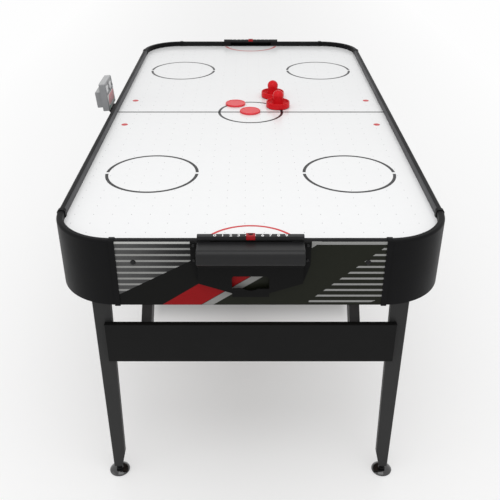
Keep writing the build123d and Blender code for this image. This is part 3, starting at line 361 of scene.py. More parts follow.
# %% Legs, boards, braces, aprons and feet
leg_foil = finish(
    "leg_foil", paint(46, 46, 46), paint(38, 38, 38), 0.45,
    grain=1.6, bump=0.08, spread=0.07, shine=0.2,
)
wear(leg_foil, paint(80, 80, 80), amount=0.08, scale=320.0, weight=0.25)
dress(leg_foil, *corners("leg"))
board_foil = finish(
    "board_foil", paint(24, 24, 24), paint(18, 18, 18), 0.48,
    grain=1.8, bump=0.08, spread=0.06, shine=0.09,
)
dress(board_foil, *both("leg_board"))
brace_grey = finish(
    "brace_grey", paint(82, 82, 83), paint(72, 72, 73), 0.48,
    grain=1.8, bump=0.08, spread=0.06, shine=0.2,
)
dress(brace_grey, *both("leg_braces"))
side_film = finish(
    "side_film", paint(20, 20, 19), paint(16, 16, 15), 0.34,
    grain=2.2, bump=0.03, spread=0.08, shine=0.09,
)
dress(side_film, "side_apron_left", "side_apron_right", *both("end_apron"))
foot_black = finish(
    "foot_black", paint(24, 24, 25), paint(18, 18, 19), 0.12,
    grain=3.0, bump=0.02, spread=0.04, coat=0.8, metal=0.1,
)
dress(foot_black, *corners("leveler"))
print("legs, aprons and feet ready")

# %% [markdown]
# ## Boards that no one looks at
# Under the table the fibreboard stays raw: a warm brown felt of fibres, darker where it was pressed.
# The grain group with a large size and a dusting of dark flecks is enough to tell it from plastic.

# %% Raw boards
raw_board = finish(
    "raw_board", paint(158, 136, 110), paint(126, 105, 80), 0.78, grain=1.4, bump=0.25, spread=0.05
)
wear(raw_board, paint(90, 64, 42), amount=0.16, scale=420.0, weight=0.6)
dress(raw_board, *both("end_beam"), *both("cross_beam"), "chamber_spacers")
hardboard = finish(
    "hardboard", paint(104, 84, 66), paint(78, 61, 47), 0.55, grain=2.2, bump=0.3, spread=0.08
)
wear(hardboard, paint(58, 40, 26), amount=0.14, scale=360.0, weight=0.5)
dress(hardboard, "chamber_panel")
print("raw boards ready")

# %% [markdown]
# ## Blower, switch and scorer
# The fan's frame is a coarse black nylon, its motor is zinc plated steel, and the screws are blackened.
# The scorer is a light grey moulding on a black bracket, and its windows are a paler, glossier plate.
# Metal is the same recipe with metal turned on.

# %% Blower, switch and screws
nylon = finish("fan_nylon", paint(44, 44, 46), paint(34, 34, 36), 0.50, grain=0.9, bump=0.2)
dress(nylon, "blower_housing", "blower_impeller", "blower_grille", "switch_box", "power_inlet")
rocker_plastic = finish(
    "rocker_plastic", paint(30, 30, 31), paint(24, 24, 25), 0.25, grain=1.5, bump=0.04, coat=0.3
)
dress(rocker_plastic, "blower_switch")
zinc = finish(
    "zinc_plate", paint(196, 198, 200), paint(168, 170, 174), 0.30, grain=1.0, bump=0.06, metal=1.0
)
dress(zinc, "blower_motor")
black_oxide = finish(
    "black_oxide", paint(26, 26, 27), paint(18, 18, 19), 0.34, grain=0.8, bump=0.08, metal=0.6
)
dress(black_oxide, "blower_screws", "apron_bolts", "wood_screws", "leg_bolts")
print("blower ready")

# %% Scorer, its windows and buttons
scorer_grey = finish("scorer_grey", paint(140, 141, 143), paint(126, 127, 129), 0.46, grain=0.8, bump=0.12)
wear(scorer_grey, paint(96, 96, 98), amount=0.05, scale=400.0, weight=0.35)
dress(scorer_grey, "scorer_front_shell", "scorer_back_shell")
dress(satin_black, "scorer_bracket")
window_grey = finish(
    "window_grey", paint(196, 197, 198), paint(186, 187, 189), 0.18, grain=3.0, bump=0.02, coat=0.4
)
dress(window_grey, "scorer_windows")
button_dark = finish("button_dark", paint(64, 64, 66), paint(52, 52, 54), 0.35, grain=0.9, bump=0.08)
dress(button_dark, "scorer_button_near", "scorer_button_far")
print("scorer ready")

# %% Painted light: a paler colour on what faces up on the scorer
tree = scorer_grey.node_tree
facing = add_node(tree, "ShaderNodeNewGeometry")
parts = add_node(tree, "ShaderNodeSeparateXYZ")
lit_top = add_node(tree, "ShaderNodeMapRange")
lit_top.inputs["From Min"].default_value = 0.4
tree.links.new(facing.outputs["Normal"], parts.inputs[0])
tree.links.new(parts.outputs["Z"], lit_top.inputs["Value"])
# Faces that look up get a paler colour: painted light from above.
lay_over(scorer_grey, paint(172, 173, 174), lit_top.outputs["Result"])
print("scorer's top is paler")

# %% [markdown]
# ## Pucks and pushers
# Both are moulded in red plastic. The pucks are a lighter red that glows a little where light enters
# the thin disc, which a little scattering under the surface gives. Pushers and score sliders are a
# deeper red without it, and felt pads lie under the pushers.

# %% Reds
puck_red = finish(
    "puck_red", paint(228, 62, 70), paint(218, 52, 60), 0.36,
    grain=1.0, bump=0.05, spread=0.08, shine=0.3,
)
shader = puck_red.node_tree.nodes["Principled BSDF"]
shader.inputs["Subsurface Weight"].default_value = 0.2
shader.inputs["Subsurface Scale"].default_value = 0.004
dress(puck_red, "puck_far", "puck_near")
pusher_red = finish(
    "pusher_red", paint(212, 26, 34), paint(200, 18, 26), 0.34, grain=1.4, bump=0.03, shine=0.16
)
dress(pusher_red, *both("pusher"))
slider_red = finish(
    "slider_red", paint(160, 14, 22), paint(144, 10, 18), 0.30, grain=1.4, bump=0.03, shine=0.2
)
dress(slider_red, *both("score_slider"))
pad_felt = finish("pad_felt", paint(40, 40, 42), paint(28, 28, 30), 0.9, grain=0.5, bump=0.6, spread=0.04)
dress(pad_felt, *both("pusher_pad"))
print("reds and felt ready")

# %% [markdown]
# ## Printing on flat faces
# Lines on the laminate and stripes on the aprons are ink: they have an outline but no thickness worth
# the name. They could be masks in the material, but then a narrow line blurs when it is baked. Thin
# faces a tenth of a millimetre above the surface stay sharp from any distance.


# %% Flat print helper
INK_LIFT = 0.1 * MM


def print_piece(name, faces, material, body="table"):
    """One mesh of loose flat faces, each a list of points in order, seen from outside."""
    mesh = bpy.data.meshes.new(name)
    points = [p for face in faces for p in face]
    order = []
    first = 0
    for face in faces:
        order.append(list(range(first, first + len(face))))
        first += len(face)
    mesh.from_pydata(points, [], order)
    mesh.materials.append(material)
    piece = bpy.data.objects.new(name, mesh)
    bpy.context.scene.collection.objects.link(piece)
    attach(piece, body)


def ring_faces(x, y, radius, width, z, start=0.0, sweep=360.0, steps=96):
    """Quads of a flat ring or arc, with angles in degrees from +X."""
    faces = []
    for step in range(steps):
        a, b = (math.radians(start + sweep * s / steps) for s in (step, step + 1))
        inner, outer = radius - width / 2, radius + width / 2
        faces.append([
            (x + inner * math.cos(a), y + inner * math.sin(a), z),
            (x + outer * math.cos(a), y + outer * math.sin(a), z),
            (x + outer * math.cos(b), y + outer * math.sin(b), z),
            (x + inner * math.cos(b), y + inner * math.sin(b), z),
        ])
    return faces


print("print helper ready")

# %% [markdown]
# ## Markings of the playing surface
# Five rings, a thin line across the middle, a red arc before each goal, and four red spots. The outer
# rings are broken by two small gaps each, where they come nearest to the sides.

# %% Lines and rings
CENTRE_RADIUS = 104.6 * MM
RING_X = 267.6 * MM
RING_Y = 505.9 * MM
RING_RADIUS = 122 * MM
RING_LINE = 8.4 * MM
GAP_DEGREES = 5.0
LINE_HALF = 4.4 * MM
LINE_Z = SURFACE_Z + INK_LIFT
dark_ink = finish("dark_ink", paint(34, 34, 36), paint(26, 26, 28), 0.35, grain=1.2, bump=0.02, shine=0.3)
red_ink = finish("red_ink", paint(206, 26, 34), paint(194, 18, 26), 0.35, grain=1.2, bump=0.02)
dark_faces = ring_faces(MIDDLE_X, 0, CENTRE_RADIUS, RING_LINE, LINE_Z)
for side in (-1, 1):
    for end in (-1, 1):
        for start in (0, 180):
            dark_faces += ring_faces(
                MIDDLE_X + side * RING_X, end * RING_Y, RING_RADIUS, RING_LINE, LINE_Z,
                start=start + GAP_DEGREES / 2, sweep=180 - GAP_DEGREES, steps=60,
            )
dark_faces.append([
    (field_low[0], -LINE_HALF, LINE_Z), (field_high[0], -LINE_HALF, LINE_Z),
    (field_high[0], LINE_HALF, LINE_Z), (field_low[0], LINE_HALF, LINE_Z),
])
print_piece("field_lines", dark_faces, dark_ink)
print("dark line faces:", len(dark_faces))

# %% Red arcs and spots
CREASE_RADIUS = 114.4 * MM
CREASE_Y = 925.6 * MM
CREASE_LINE = 7 * MM
CREASE_GAP = 2.0    # degrees left free at each end, before the rail
SPOT = (403 * MM, 122 * MM)
SPOT_RADIUS = 10.4 * MM
crease_reach = math.degrees(math.acos((CREASE_Y - field_high[1]) / CREASE_RADIUS))
red_faces = []
for end in (-1, 1):
    middle = -90 * end
    red_faces += ring_faces(
        MIDDLE_X, end * CREASE_Y, CREASE_RADIUS, CREASE_LINE, LINE_Z,
        start=middle - crease_reach + CREASE_GAP, sweep=2 * (crease_reach - CREASE_GAP), steps=64,
    )
    for side in (-1, 1):
        red_faces.append([
            (
                MIDDLE_X + side * SPOT[0] + SPOT_RADIUS * math.cos(math.radians(a)),
                end * SPOT[1] + SPOT_RADIUS * math.sin(math.radians(a)),
                LINE_Z,
            )
            for a in range(0, 360, 15)
        ])
print_piece("field_arcs_and_spots", red_faces, red_ink)
print("red faces:", len(red_faces))

# %% [markdown]
# ## Air holes
# Hundreds of tiny holes, on a square grid, let the air out. Cutting them would break the laminate
# into thousands of slivers, and nobody sees down a hole of two millimetres. Geometry Nodes lay out a
# grid of points and set a small dark disc on each one: counts, pitch and size are its inputs.


# %% Geometry Nodes: a grid of discs
def new_geometry_tree(name, sizes):
    """Geometry group with named float inputs. Returns the tree and its two end nodes."""
    tree = bpy.data.node_groups.new(name, "GeometryNodeTree")
    tree.interface.new_socket("Geometry", in_out="INPUT", socket_type="NodeSocketGeometry")
    for title, value in sizes.items():
        kind = "NodeSocketInt" if isinstance(value, int) else "NodeSocketFloat"
        tree.interface.new_socket(title, in_out="INPUT", socket_type=kind).default_value = value
    tree.interface.new_socket("Geometry", in_out="OUTPUT", socket_type="NodeSocketGeometry")
    return tree, tree.nodes.new("NodeGroupInput"), tree.nodes.new("NodeGroupOutput")


def grow(name, tree, sizes, place=Matrix.Identity(4), body="table"):
    """Run a geometry tree with these sizes and keep its result as a plain mesh at place."""
    seed = bpy.data.objects.new(name + "_seed", bpy.data.meshes.new(name + "_seed"))
    bpy.context.scene.collection.objects.link(seed)
    modifier = seed.modifiers.new("grow", "NODES")
    modifier.node_group = tree
    sockets = {s.name: s.identifier for s in tree.interface.items_tree if s.in_out == "INPUT"}
    for title, value in sizes.items():
        modifier[sockets[title]] = value
    bpy.context.view_layer.update()
    evaluated = seed.evaluated_get(bpy.context.evaluated_depsgraph_get())
    mesh = bpy.data.meshes.new_from_object(evaluated)
    mesh.transform(place)
    mesh.name = name
    piece = bpy.data.objects.new(name, mesh)
    bpy.context.scene.collection.objects.link(piece)
    bpy.data.objects.remove(seed)
    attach(piece, body)
    return piece


hole_shade = finish("hole_shade", paint(96, 96, 98), paint(78, 78, 80), 0.6, grain=1.0, bump=0.02)
disc_grid, start, end = new_geometry_tree(
    "disc_grid", {"Across": 3, "Along": 3, "Pitch": 0.02, "Radius": 0.001}
)
spans = []
for count in ("Across", "Along"):
    gaps = add_node(disc_grid, "ShaderNodeMath", operation="SUBTRACT")
    gaps.inputs[1].default_value = 1.0
    span = add_node(disc_grid, "ShaderNodeMath", operation="MULTIPLY")
    disc_grid.links.new(start.outputs[count], gaps.inputs[0])
    disc_grid.links.new(gaps.outputs[0], span.inputs[0])
    disc_grid.links.new(start.outputs["Pitch"], span.inputs[1])
    spans.append(span)
grid = add_node(disc_grid, "GeometryNodeMeshGrid")
disc = add_node(disc_grid, "GeometryNodeMeshCircle", fill_type="NGON")
disc.inputs["Vertices"].default_value = 10
spread = add_node(disc_grid, "GeometryNodeInstanceOnPoints")
real = add_node(disc_grid, "GeometryNodeRealizeInstances")
shade = add_node(disc_grid, "GeometryNodeSetMaterial")
shade.inputs["Material"].default_value = hole_shade
disc_grid.links.new(spans[0].outputs[0], grid.inputs["Size X"])
disc_grid.links.new(spans[1].outputs[0], grid.inputs["Size Y"])
disc_grid.links.new(start.outputs["Across"], grid.inputs["Vertices X"])
disc_grid.links.new(start.outputs["Along"], grid.inputs["Vertices Y"])
disc_grid.links.new(start.outputs["Radius"], disc.inputs["Radius"])
disc_grid.links.new(grid.outputs["Mesh"], spread.inputs["Points"])
disc_grid.links.new(disc.outputs["Mesh"], spread.inputs["Instance"])
disc_grid.links.new(spread.outputs[0], real.inputs[0])
disc_grid.links.new(real.outputs[0], shade.inputs["Geometry"])
disc_grid.links.new(shade.outputs[0], end.inputs["Geometry"])
HOLE_PITCH = 45.6 * MM
HOLE_RADIUS = 1.1 * MM
HOLES_ACROSS, HOLES_ALONG = 19, 38
GRID_SHIFT = 0.3 * HOLE_PITCH    # the grid lies this much to the left of the middle
holes = grow(
    "field_air_holes", disc_grid,
    {"Across": HOLES_ACROSS, "Along": HOLES_ALONG, "Pitch": HOLE_PITCH, "Radius": HOLE_RADIUS},
    Matrix.Translation((MIDDLE_X - GRID_SHIFT, 0, SURFACE_Z + 0.5 * INK_LIFT)),
)
print("air holes:", len(holes.data.polygons))

# %% [markdown]
# ## Printed film on the end aprons
# A dark film covers apron and rail face together. On the left a grey field with pale stripes is cut
# by a slanting edge, a red and a grey slash rise under the goal, and on the right pale stripes step
# down along a diagonal. All of it is plain geometry, so it is drawn as polygons in the apron's plane,
# each layer a little further out than the one below it.


# %% Drawing on an end
BAND_EDGE = 301.5 * MM
FILM_LOW = apron_low[2] + 0.5 * MM
FILM_HIGH = rail_high[2] - 2.4 * MM
RAIL_ROUND = 6 * MM
ROUND_FOOT = rail_high[2] - RAIL_ROUND
WRAP_LEVELS = [FILM_LOW, ROUND_FOOT, rail_high[2] - 4 * MM, FILM_HIGH]
STRIPE_PITCH = 15.45 * MM
STRIPE_HEIGHT = 5.0 * MM
TOP_STRIPE = FILM_HIGH - 3 * MM


def clip(outline, point, slope):
    """The part of a polygon above and left of a line through point (Sutherland and Hodgman's way)."""
    def height(p):
        return (p[1] - point[1]) - slope * (p[0] - point[0])
    kept = []
    for a, b in zip(outline, outline[1:] + outline[:1]):
        ha, hb = height(a), height(b)
        if ha >= 0:
            kept.append(a)
        if ha * hb < 0:
            t = ha / (ha - hb)
            kept.append((a[0] + t * (b[0] - a[0]), a[1] + t * (b[1] - a[1])))
    return kept


def below(outline, point, slope):
    """The part of a polygon below and right of that line."""
    turned = clip([(-x, -z) for x, z in outline], (-point[0], -point[1]), slope)
    return [(-x, -z) for x, z in turned]


def box(x0, x1, z0, z1):
    """A rectangle between two sides and two heights."""
    return [(x0, z0), (x1, z0), (x1, z1), (x0, z1)]


def bar(x0, x1, z, height=STRIPE_HEIGHT):
    """One stripe as a rectangle round height z."""
    return box(x0, x1, z - height / 2, z + height / 2)


def on_end(outlines, end, lift):
    """Outlines (x, z) laid on an end, seen from outside, and wrapped over the rail's rounded edge."""
    def point(x, z):
        rise = max(0.0, z - ROUND_FOOT)
        inset = RAIL_ROUND - math.sqrt(RAIL_ROUND ** 2 - rise ** 2)
        return (MIDDLE_X - end * x, end * (END_Y + lift - inset), z)
    faces = []
    for outline in outlines:
        for low, high in zip(WRAP_LEVELS, WRAP_LEVELS[1:]):
            piece = clip(below(outline, (0, high), 0), (0, low), 0)
            if len(piece) > 2:
                faces.append([point(x, z) for x, z in piece])
    return faces


print("film from", round(FILM_LOW, 3), "to", round(FILM_HIGH, 3))


# %% Inks of the film
def film_ink(name, light, dark):
    """Ink with the film's satin gloss."""
    return finish(name, light, dark, 0.36, grain=2.0, bump=0.02, shine=0.09)


film_black_and_shade = film_ink("film_black_and_shade", paint(16, 16, 15), paint(12, 12, 11))
film_green = film_ink("film_green_black", paint(32, 33, 26), paint(26, 28, 21))
film_grey = film_ink("film_grey", paint(90, 90, 90), paint(60, 60, 60))
film_stripe = film_ink("film_stripe", paint(148, 148, 147), paint(134, 134, 132))
film_pale = film_ink("film_pale", paint(184, 184, 182), paint(170, 170, 167))
film_red = film_ink("film_red", paint(142, 18, 22), paint(130, 14, 18))
film_silver = film_ink("film_silver", paint(142, 142, 140), paint(128, 128, 126))
print("film inks ready")

# %% Darken the grey field towards the goal
DARKEST, PLAIN = 130 * MM, 300 * MM    # distances from the middle plane
near_goal = soft_edge(film_grey.node_tree, own_place(film_grey), "X", MIDDLE_X, PLAIN, DARKEST)
lay_over(film_grey, paint(34, 34, 34), near_goal)
print("grey field fades towards the goal")

# %% The film, its fields and its stripes
GOAL_EDGE = 134 * MM
MOUTH_HALF = 90 * MM
MOUTH_SILL = SURFACE_Z - 5 * MM
FIELD_CORNER = (-BAND_EDGE, FILM_LOW + 28.7 * MM)
FIELD_SLOPE = 0.535
STEP_FOOT = (133 * MM, FILM_LOW + 9 * MM)
STEP_SLOPE = 1 / 1.14
FLAG_EDGE = 135 * MM
FLAG_WIDTH = 22 * MM
FLAG_LOW = FILM_HIGH - 16 * MM
FLAG_STRIPE = 7 * MM
END_CORNER = (284 * MM, FILM_LOW + 10 * MM)
CORNER_SLOPE = 0.45
SLASH_SLOPE = 0.67
SLASH_HIGH = FILM_LOW + 96 * MM
RED_SLASH = (-204 * MM, -115 * MM)
GREY_SLASH = (-113 * MM, -86.5 * MM)
DARK_REACH = 100 * MM


def slash(x0, x1):
    """Slanting bar that rises to the right from the film's lower edge."""
    run = (SLASH_HIGH - FILM_LOW) / SLASH_SLOPE
    return [(x0, FILM_LOW), (x1, FILM_LOW), (x1 + run, SLASH_HIGH), (x0 + run, SLASH_HIGH)]


def striped():
    """Stripes of one end from the top down, cut by the fields' edges, and the flag's bar last."""
    found = []
    z = TOP_STRIPE
    while z > FILM_LOW:
        left = clip(bar(-BAND_EDGE, -GOAL_EDGE, z), FIELD_CORNER, FIELD_SLOPE)
        right = clip(below(bar(GOAL_EDGE, BAND_EDGE, z), STEP_FOOT, STEP_SLOPE), END_CORNER, CORNER_SLOPE)
        found += [outline for outline in (left, right) if len(outline) > 2]
        z -= STRIPE_PITCH
    return found + [bar(FLAG_EDGE, BAND_EDGE, TOP_STRIPE - 1 * MM, FLAG_STRIPE)]


whole = [
    box(-BAND_EDGE, BAND_EDGE, FILM_LOW, MOUTH_SILL),
    box(-BAND_EDGE, -MOUTH_HALF, MOUTH_SILL, FILM_HIGH),
    box(MOUTH_HALF, BAND_EDGE, MOUTH_SILL, FILM_HIGH),
]
left_low = clip(
    box(-BAND_EDGE, DARK_REACH, FILM_LOW, MOUTH_SILL), (GREY_SLASH[1], FILM_LOW), SLASH_SLOPE
)
field = clip(box(-BAND_EDGE, -GOAL_EDGE, FILM_LOW, FILM_HIGH), FIELD_CORNER, FIELD_SLOPE)
flag = [(FLAG_EDGE, FLAG_LOW), (FLAG_EDGE + FLAG_WIDTH, FILM_HIGH), (FLAG_EDGE, FILM_HIGH)]
stripes = striped()
film_layers = [    # name, outlines, height in steps of INK_LIFT and ink
    ("film_base", whole, 0.5, film_green),
    ("film_left", [left_low, whole[1]], 1, film_black_and_shade),
    ("film_field", [field], 1.5, film_grey),
    ("film_top_stripe", stripes[:1], 2, film_pale),
    ("film_stripes", stripes[1:], 2, film_stripe),
    ("film_flag", [flag], 2.5, film_stripe),
    ("film_red_slash", [slash(*RED_SLASH)], 1.5, film_red),
    ("film_grey_slash", [slash(*GREY_SLASH)], 1.5, film_silver),
]
for end, title in ((-1, "front"), (1, "rear")):
    for name, outlines, layer, ink in film_layers:
        print_piece(f"{name}_{title}", on_end(outlines, end, layer * INK_LIFT), ink)
print("stripes on each end:", len(stripes))

# %% [markdown]
# ## Painted shade under the score bars
# The film ends at the goal's mouth. A narrow black sheet in the film's black ink closes the slit between
# the bar's foot and the top of the hood, so that the white sheet behind doesn't shine through. It is
# painted shade for the shade in the mouth.

# %% Painted shade over each mouth
SHADE_SHEET_LAP = 1 * MM       # down behind the hood
SHADE_SHEET_RISE = 0.4 * MM    # up behind the bar
SHADE_SHEET_INSET = 0.3 * MM
# A black sheet of painted shade over each mouth, in the same black ink as the film's print.
for end, title in ((-1, "front"), (1, "rear")):
    hood_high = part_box("goal_box_" + title)[1][2]
    edge = box(-MOUTH_HALF, MOUTH_HALF, hood_high - SHADE_SHEET_LAP, rail_high[2] + SHADE_SHEET_RISE)
    y = end * (END_Y - SHADE_SHEET_INSET)
    print_piece(f"mouth_shade_sheet_{title}", [[(MIDDLE_X - end * x, y, z) for x, z in edge]], film_black_and_shade)
print("edging over both mouths")

# %% [markdown]
# ## Numbers on the score bars
# Ten figures, 0 to 9, are printed along the flat top of each bar, upright for the player who stands behind
# it. A text object gives each figure, and one matrix for each end lays its mesh on the bar.

# %% Score figures
BAR_PITCH = 17.6 * MM
FIGURE_SIZE = 13.6 * MM
FIGURE_WEIGHT = 0.35 * MM
bar_low, bar_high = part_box("score_bar_rear")
BAND_MIDDLE_Y = bar_low[1] + 7.4 * MM
figure_white = finish(
    "figure_white", paint(235, 235, 235), paint(222, 222, 222), 0.4, grain=1.0, bump=0.02
)


def figure_mesh(text, size):
    """Flat mesh of one printed figure, centred on its own middle."""
    curve = bpy.data.curves.new("figure", "FONT")
    curve.body = text
    curve.size = size
    curve.offset = FIGURE_WEIGHT
    curve.resolution_u = 3
    holder = bpy.data.objects.new("figure", curve)
    bpy.context.scene.collection.objects.link(holder)
    bpy.context.view_layer.update()
    mesh = bpy.data.meshes.new_from_object(holder.evaluated_get(bpy.context.evaluated_depsgraph_get()))
    bpy.data.objects.remove(holder)
    xs = [v.co.x for v in mesh.vertices]
    ys = [v.co.y for v in mesh.vertices]
    mesh.transform(Matrix.Translation((-(min(xs) + max(xs)) / 2, -(min(ys) + max(ys)) / 2, 0)))
    return mesh


for end, title in ((-1, "front"), (1, "rear")):
    shape = bmesh.new()
    turn = 0 if end < 0 else math.pi
    for value in range(10):
        mesh = figure_mesh(str(value), FIGURE_SIZE)
        mesh.transform(Matrix.Translation(
            (BAR_PITCH * (value - 4.5), -BAND_MIDDLE_Y, bar_high[2] + INK_LIFT)
        ))
        mesh.transform(Matrix.Rotation(turn, 4, "Z"))
        mesh.transform(Matrix.Translation((MIDDLE_X, 0, 0)))
        shape.from_mesh(mesh)
    mesh = bpy.data.meshes.new(f"score_figures_{title}")
    shape.to_mesh(mesh)
    shape.free()
    mesh.materials.clear()
    mesh.materials.append(figure_white)
    piece = bpy.data.objects.new(mesh.name, mesh)
    bpy.context.scene.collection.objects.link(piece)
    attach(piece, "table")
    print(piece.name, len(mesh.polygons), "faces")

# %% [markdown]
# ## Print on the scorer
# The scorer leans back a little, so its print needs a slanted plane. Its two directions are the table's
# Y and a line up the face, and the shell's furthest corner along the face's normal says where it lies.

# %% The plane of the scorer's face
SCORER_LEAN = math.radians(5)
face_out = Vector((math.cos(SCORER_LEAN), 0, math.sin(SCORER_LEAN)))
face_up = Vector((-math.sin(SCORER_LEAN), 0, math.cos(SCORER_LEAN)))
face_along = Vector((0, 1, 0))
shell_corners = [v.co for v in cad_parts["scorer_front_shell"].data.vertices]
face_reach = max(face_out.dot(c) for c in shell_corners)
shell_low, shell_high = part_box("scorer_front_shell")
foot = face_out * face_reach + Vector((0, (shell_low[1] + shell_high[1]) / 2, 0))
foot += face_up * (shell_low[2] - foot.z)


def on_scorer(outline, layer):
    """Outline (along, up) in the plane of the scorer's face, measured from the middle of its foot."""
    lift = face_out * INK_LIFT * (1 + layer)
    return [tuple(foot + face_along * a + face_up * u + lift) for a, u in outline]


def slant(along, up, width, height):
    """Bar with level ends that slopes to one side as it rises."""
    run = 0.45 * height
    top = up + height
    return [(along, up), (along + width, up), (along + width + run, top), (along + run, top)]


def frame_bars(along, up, width, height, line):
    """Four thin bars around a rectangle given by its middle."""
    a0, a1 = along - width / 2, along + width / 2
    u0, u1 = up - height / 2, up + height / 2
    return [
        box(a0 - line, a1 + line, u0 - line, u0), box(a0 - line, a1 + line, u1, u1 + line),
        box(a0 - line, a0, u0, u1), box(a1, a1 + line, u0, u1),
    ]


print("scorer face reaches x", round(foot.x, 4))

# %% Label, partly painted light, window edges, stripes and spot
# The label is partly the face's own pale print and partly painted light: it stands for the light that
# falls on the face from the right.
pale_label_and_light = finish("pale_label_and_light", paint(216, 216, 214), paint(204, 205, 203), 0.4, grain=2.0, bump=0.02)
scorer_red = finish("scorer_red", paint(224, 104, 120), paint(212, 92, 108), 0.4, grain=1.4, bump=0.02)
scorer_teal = finish("scorer_teal", paint(110, 178, 160), paint(96, 164, 146), 0.4, grain=1.4, bump=0.02)
LIT_LABEL = box(-51 * MM, 51 * MM, 6 * MM, 55 * MM)
WINDOW_MIDDLES = (-31 * MM, 23 * MM)
WINDOW_UP, WINDOW_WIDTH, WINDOW_HEIGHT = 72 * MM, 36 * MM, 28 * MM
EDGE_LINE = 1.4 * MM
RED_BARS = (-40 * MM, -19 * MM, 2 * MM, 23 * MM)
window_edges = [
    edge for along in WINDOW_MIDDLES
    for edge in frame_bars(along, WINDOW_UP, WINDOW_WIDTH, WINDOW_HEIGHT, EDGE_LINE)
]
red_bars = [slant(along, 22 * MM, 11 * MM, 30 * MM) for along in RED_BARS]
spot = slant(-47 * MM, 11 * MM, 12 * MM, 8 * MM)
print_piece("scorer_label_and_light", [on_scorer(LIT_LABEL, 0)], pale_label_and_light)
print_piece("scorer_window_edges", [on_scorer(e, 0) for e in window_edges], button_dark)
print_piece("scorer_stripes", [on_scorer(b, 1) for b in red_bars], scorer_red)
print_piece("scorer_spot", [on_scorer(spot, 1)], scorer_teal)
print("scorer printed")

# %% [markdown]
# ## Floor, backdrop and light
# A product shot: a pale floor, a white surround and broad soft lamps. The floor is a plain sheet that
# keeps the table's soft shadow, with a little more shade painted under the table's far half. It also
# glows, a little even at the middle, which is painted light that lightens that shadow. Further out the
# glow fades it into the white of the surround, so no horizon shows. The surround is white to the camera
# and in reflections, and dimmer as a light.

# %% Floor
FLOOR_HALF = 14.0
FLOOR_DROP = 0.5 * MM
FADE_STRETCH = (1.0, 0.10, 1.0)      # the fade is slower along the table
# The glow starts below zero, so some of it is painted light that lightens the table's shadow at the
# middle.
FADE_START, FADE_END = -0.60, 1.9    # a start below zero leaves some fade at the middle too
SHADE_MIDDLE = (MIDDLE_X, 0.40)
SHADE_FULL = (0.33, 0.44)            # half width and half length of the painted shade
SHADE_NONE = (0.40, 0.59)            # and where it has faded out
floor_paint = bpy.data.materials.new("floor_paint")
floor_paint.use_nodes = True
tree = floor_paint.node_tree
shader = tree.nodes["Principled BSDF"]
shader.inputs["Roughness"].default_value = 0.55
shader.inputs["Specular IOR Level"].default_value = 0.2
place = add_node(tree, "ShaderNodeTexCoord").outputs["Object"]
stretch = add_node(tree, "ShaderNodeVectorMath", operation="MULTIPLY")
stretch.inputs[1].default_value = FADE_STRETCH
reach = add_node(tree, "ShaderNodeVectorMath", operation="LENGTH")
fade = add_node(tree, "ShaderNodeMapRange")
fade.inputs["From Min"].default_value = FADE_START
fade.inputs["From Max"].default_value = FADE_END
glow = add_node(tree, "ShaderNodeEmission")
blend = add_node(tree, "ShaderNodeMixShader")
tree.links.new(place, stretch.inputs[0])
tree.links.new(stretch.outputs[0], reach.inputs[0])
tree.links.new(reach.outputs["Value"], fade.inputs["Value"])
tree.links.new(fade.outputs["Result"], blend.inputs[0])
tree.links.new(shader.outputs[0], blend.inputs[1])
tree.links.new(glow.outputs[0], blend.inputs[2])
tree.links.new(blend.outputs[0], tree.nodes["Material Output"].inputs["Surface"])
shade = add_node(tree, "ShaderNodeMath", operation="MULTIPLY")
for slot, axis in enumerate("XY"):
    edge = soft_edge(tree, place, axis, SHADE_MIDDLE[slot], SHADE_NONE[slot], SHADE_FULL[slot])
    tree.links.new(edge, shade.inputs[slot])
mix = add_node(tree, "ShaderNodeMix", data_type="RGBA")
mix.inputs["A"].default_value = paint(254, 254, 254)
mix.inputs["B"].default_value = paint(190, 190, 190)
tree.links.new(shade.outputs[0], mix.inputs["Factor"])
for colour in (shader.inputs["Base Color"], glow.inputs["Color"]):
    tree.links.new(mix.outputs["Result"], colour)
signs = ((-1, -1), (1, -1), (1, 1), (-1, 1))
mesh = bpy.data.meshes.new("floor")
mesh.from_pydata([(x * FLOOR_HALF, y * FLOOR_HALF, -FLOOR_DROP) for x, y in signs], [], [(0, 1, 2, 3)])
mesh.materials.append(floor_paint)
floor = bpy.data.objects.new("floor", mesh)
bpy.context.scene.collection.objects.link(floor)
print("floor ready")

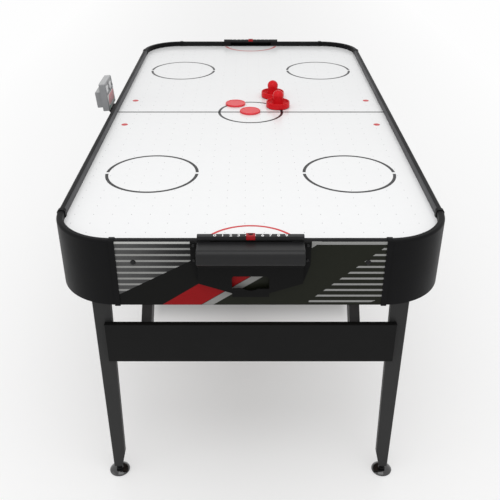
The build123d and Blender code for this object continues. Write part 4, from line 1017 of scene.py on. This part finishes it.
# %% Surround: full white to camera and mirror rays, dimmer to the rest
SURROUND_LIGHT = 0.78
world = bpy.data.worlds.new("surround")
bpy.context.scene.world = world
world.use_nodes = True
tree = world.node_tree
dim = tree.nodes["Background"]
dim.inputs["Strength"].default_value = SURROUND_LIGHT
white = add_node(tree, "ShaderNodeBackground")
for backing in (dim, white):
    backing.inputs["Color"].default_value = (1, 1, 1, 1)
rays = add_node(tree, "ShaderNodeLightPath")
seen = add_node(tree, "ShaderNodeMath", operation="MAXIMUM")
mirrored = add_node(tree, "ShaderNodeMath", operation="MAXIMUM")
blend = add_node(tree, "ShaderNodeMixShader")
tree.links.new(rays.outputs["Is Camera Ray"], seen.inputs[0])
tree.links.new(rays.outputs["Is Glossy Ray"], mirrored.inputs[0])
tree.links.new(rays.outputs["Is Transmission Ray"], mirrored.inputs[1])
tree.links.new(mirrored.outputs[0], seen.inputs[1])
tree.links.new(seen.outputs[0], blend.inputs[0])
tree.links.new(dim.outputs[0], blend.inputs[1])
tree.links.new(white.outputs[0], blend.inputs[2])
tree.links.new(blend.outputs[0], tree.nodes["World Output"].inputs["Surface"])
print("surround ready")


# %% Lamps
def softbox(name, place, aim, size, power):
    """Square area lamp at place that shines towards aim."""
    lamp = bpy.data.lights.new(name, "AREA")
    lamp.shape = "SQUARE"
    lamp.size = size
    lamp.energy = power
    holder = bpy.data.objects.new(name, lamp)
    holder.location = place
    holder.rotation_mode = "QUATERNION"
    holder.rotation_quaternion = (Vector(aim) - Vector(place)).to_track_quat("-Z", "Y")
    bpy.context.scene.collection.objects.link(holder)


TABLE_MIDDLE = (MIDDLE_X, 0, 0.6)
softbox("overhead", (0.1, -1.4, 2.9), (MIDDLE_X, -0.5, 0.7), 2.0, 20)
softbox("front_left", (-3.4, -1.6, 1.9), TABLE_MIDDLE, 2.6, 9)
softbox("front_right", (3.4, -3.0, 2.2), TABLE_MIDDLE, 2.6, 2)
print("three softboxes")

# %% [markdown]
# ## Camera
# A normal lens at standing height looks down along the table from its near end, with the table's
# middle plane in the middle of the view.

# %% Camera
lens = bpy.data.cameras.new("camera")
lens.lens = 50
lens.sensor_width = 36
lens.shift_x = -0.0013
camera = bpy.data.objects.new("camera", lens)
camera.location = (MIDDLE_X, -2.246, 1.506)
camera.rotation_euler = (math.radians(60), 0, 0)
bpy.context.scene.collection.objects.link(camera)
bpy.context.scene.camera = camera
bpy.context.scene.view_settings.view_transform = "Standard"
print("camera at", tuple(round(c, 3) for c in camera.location))
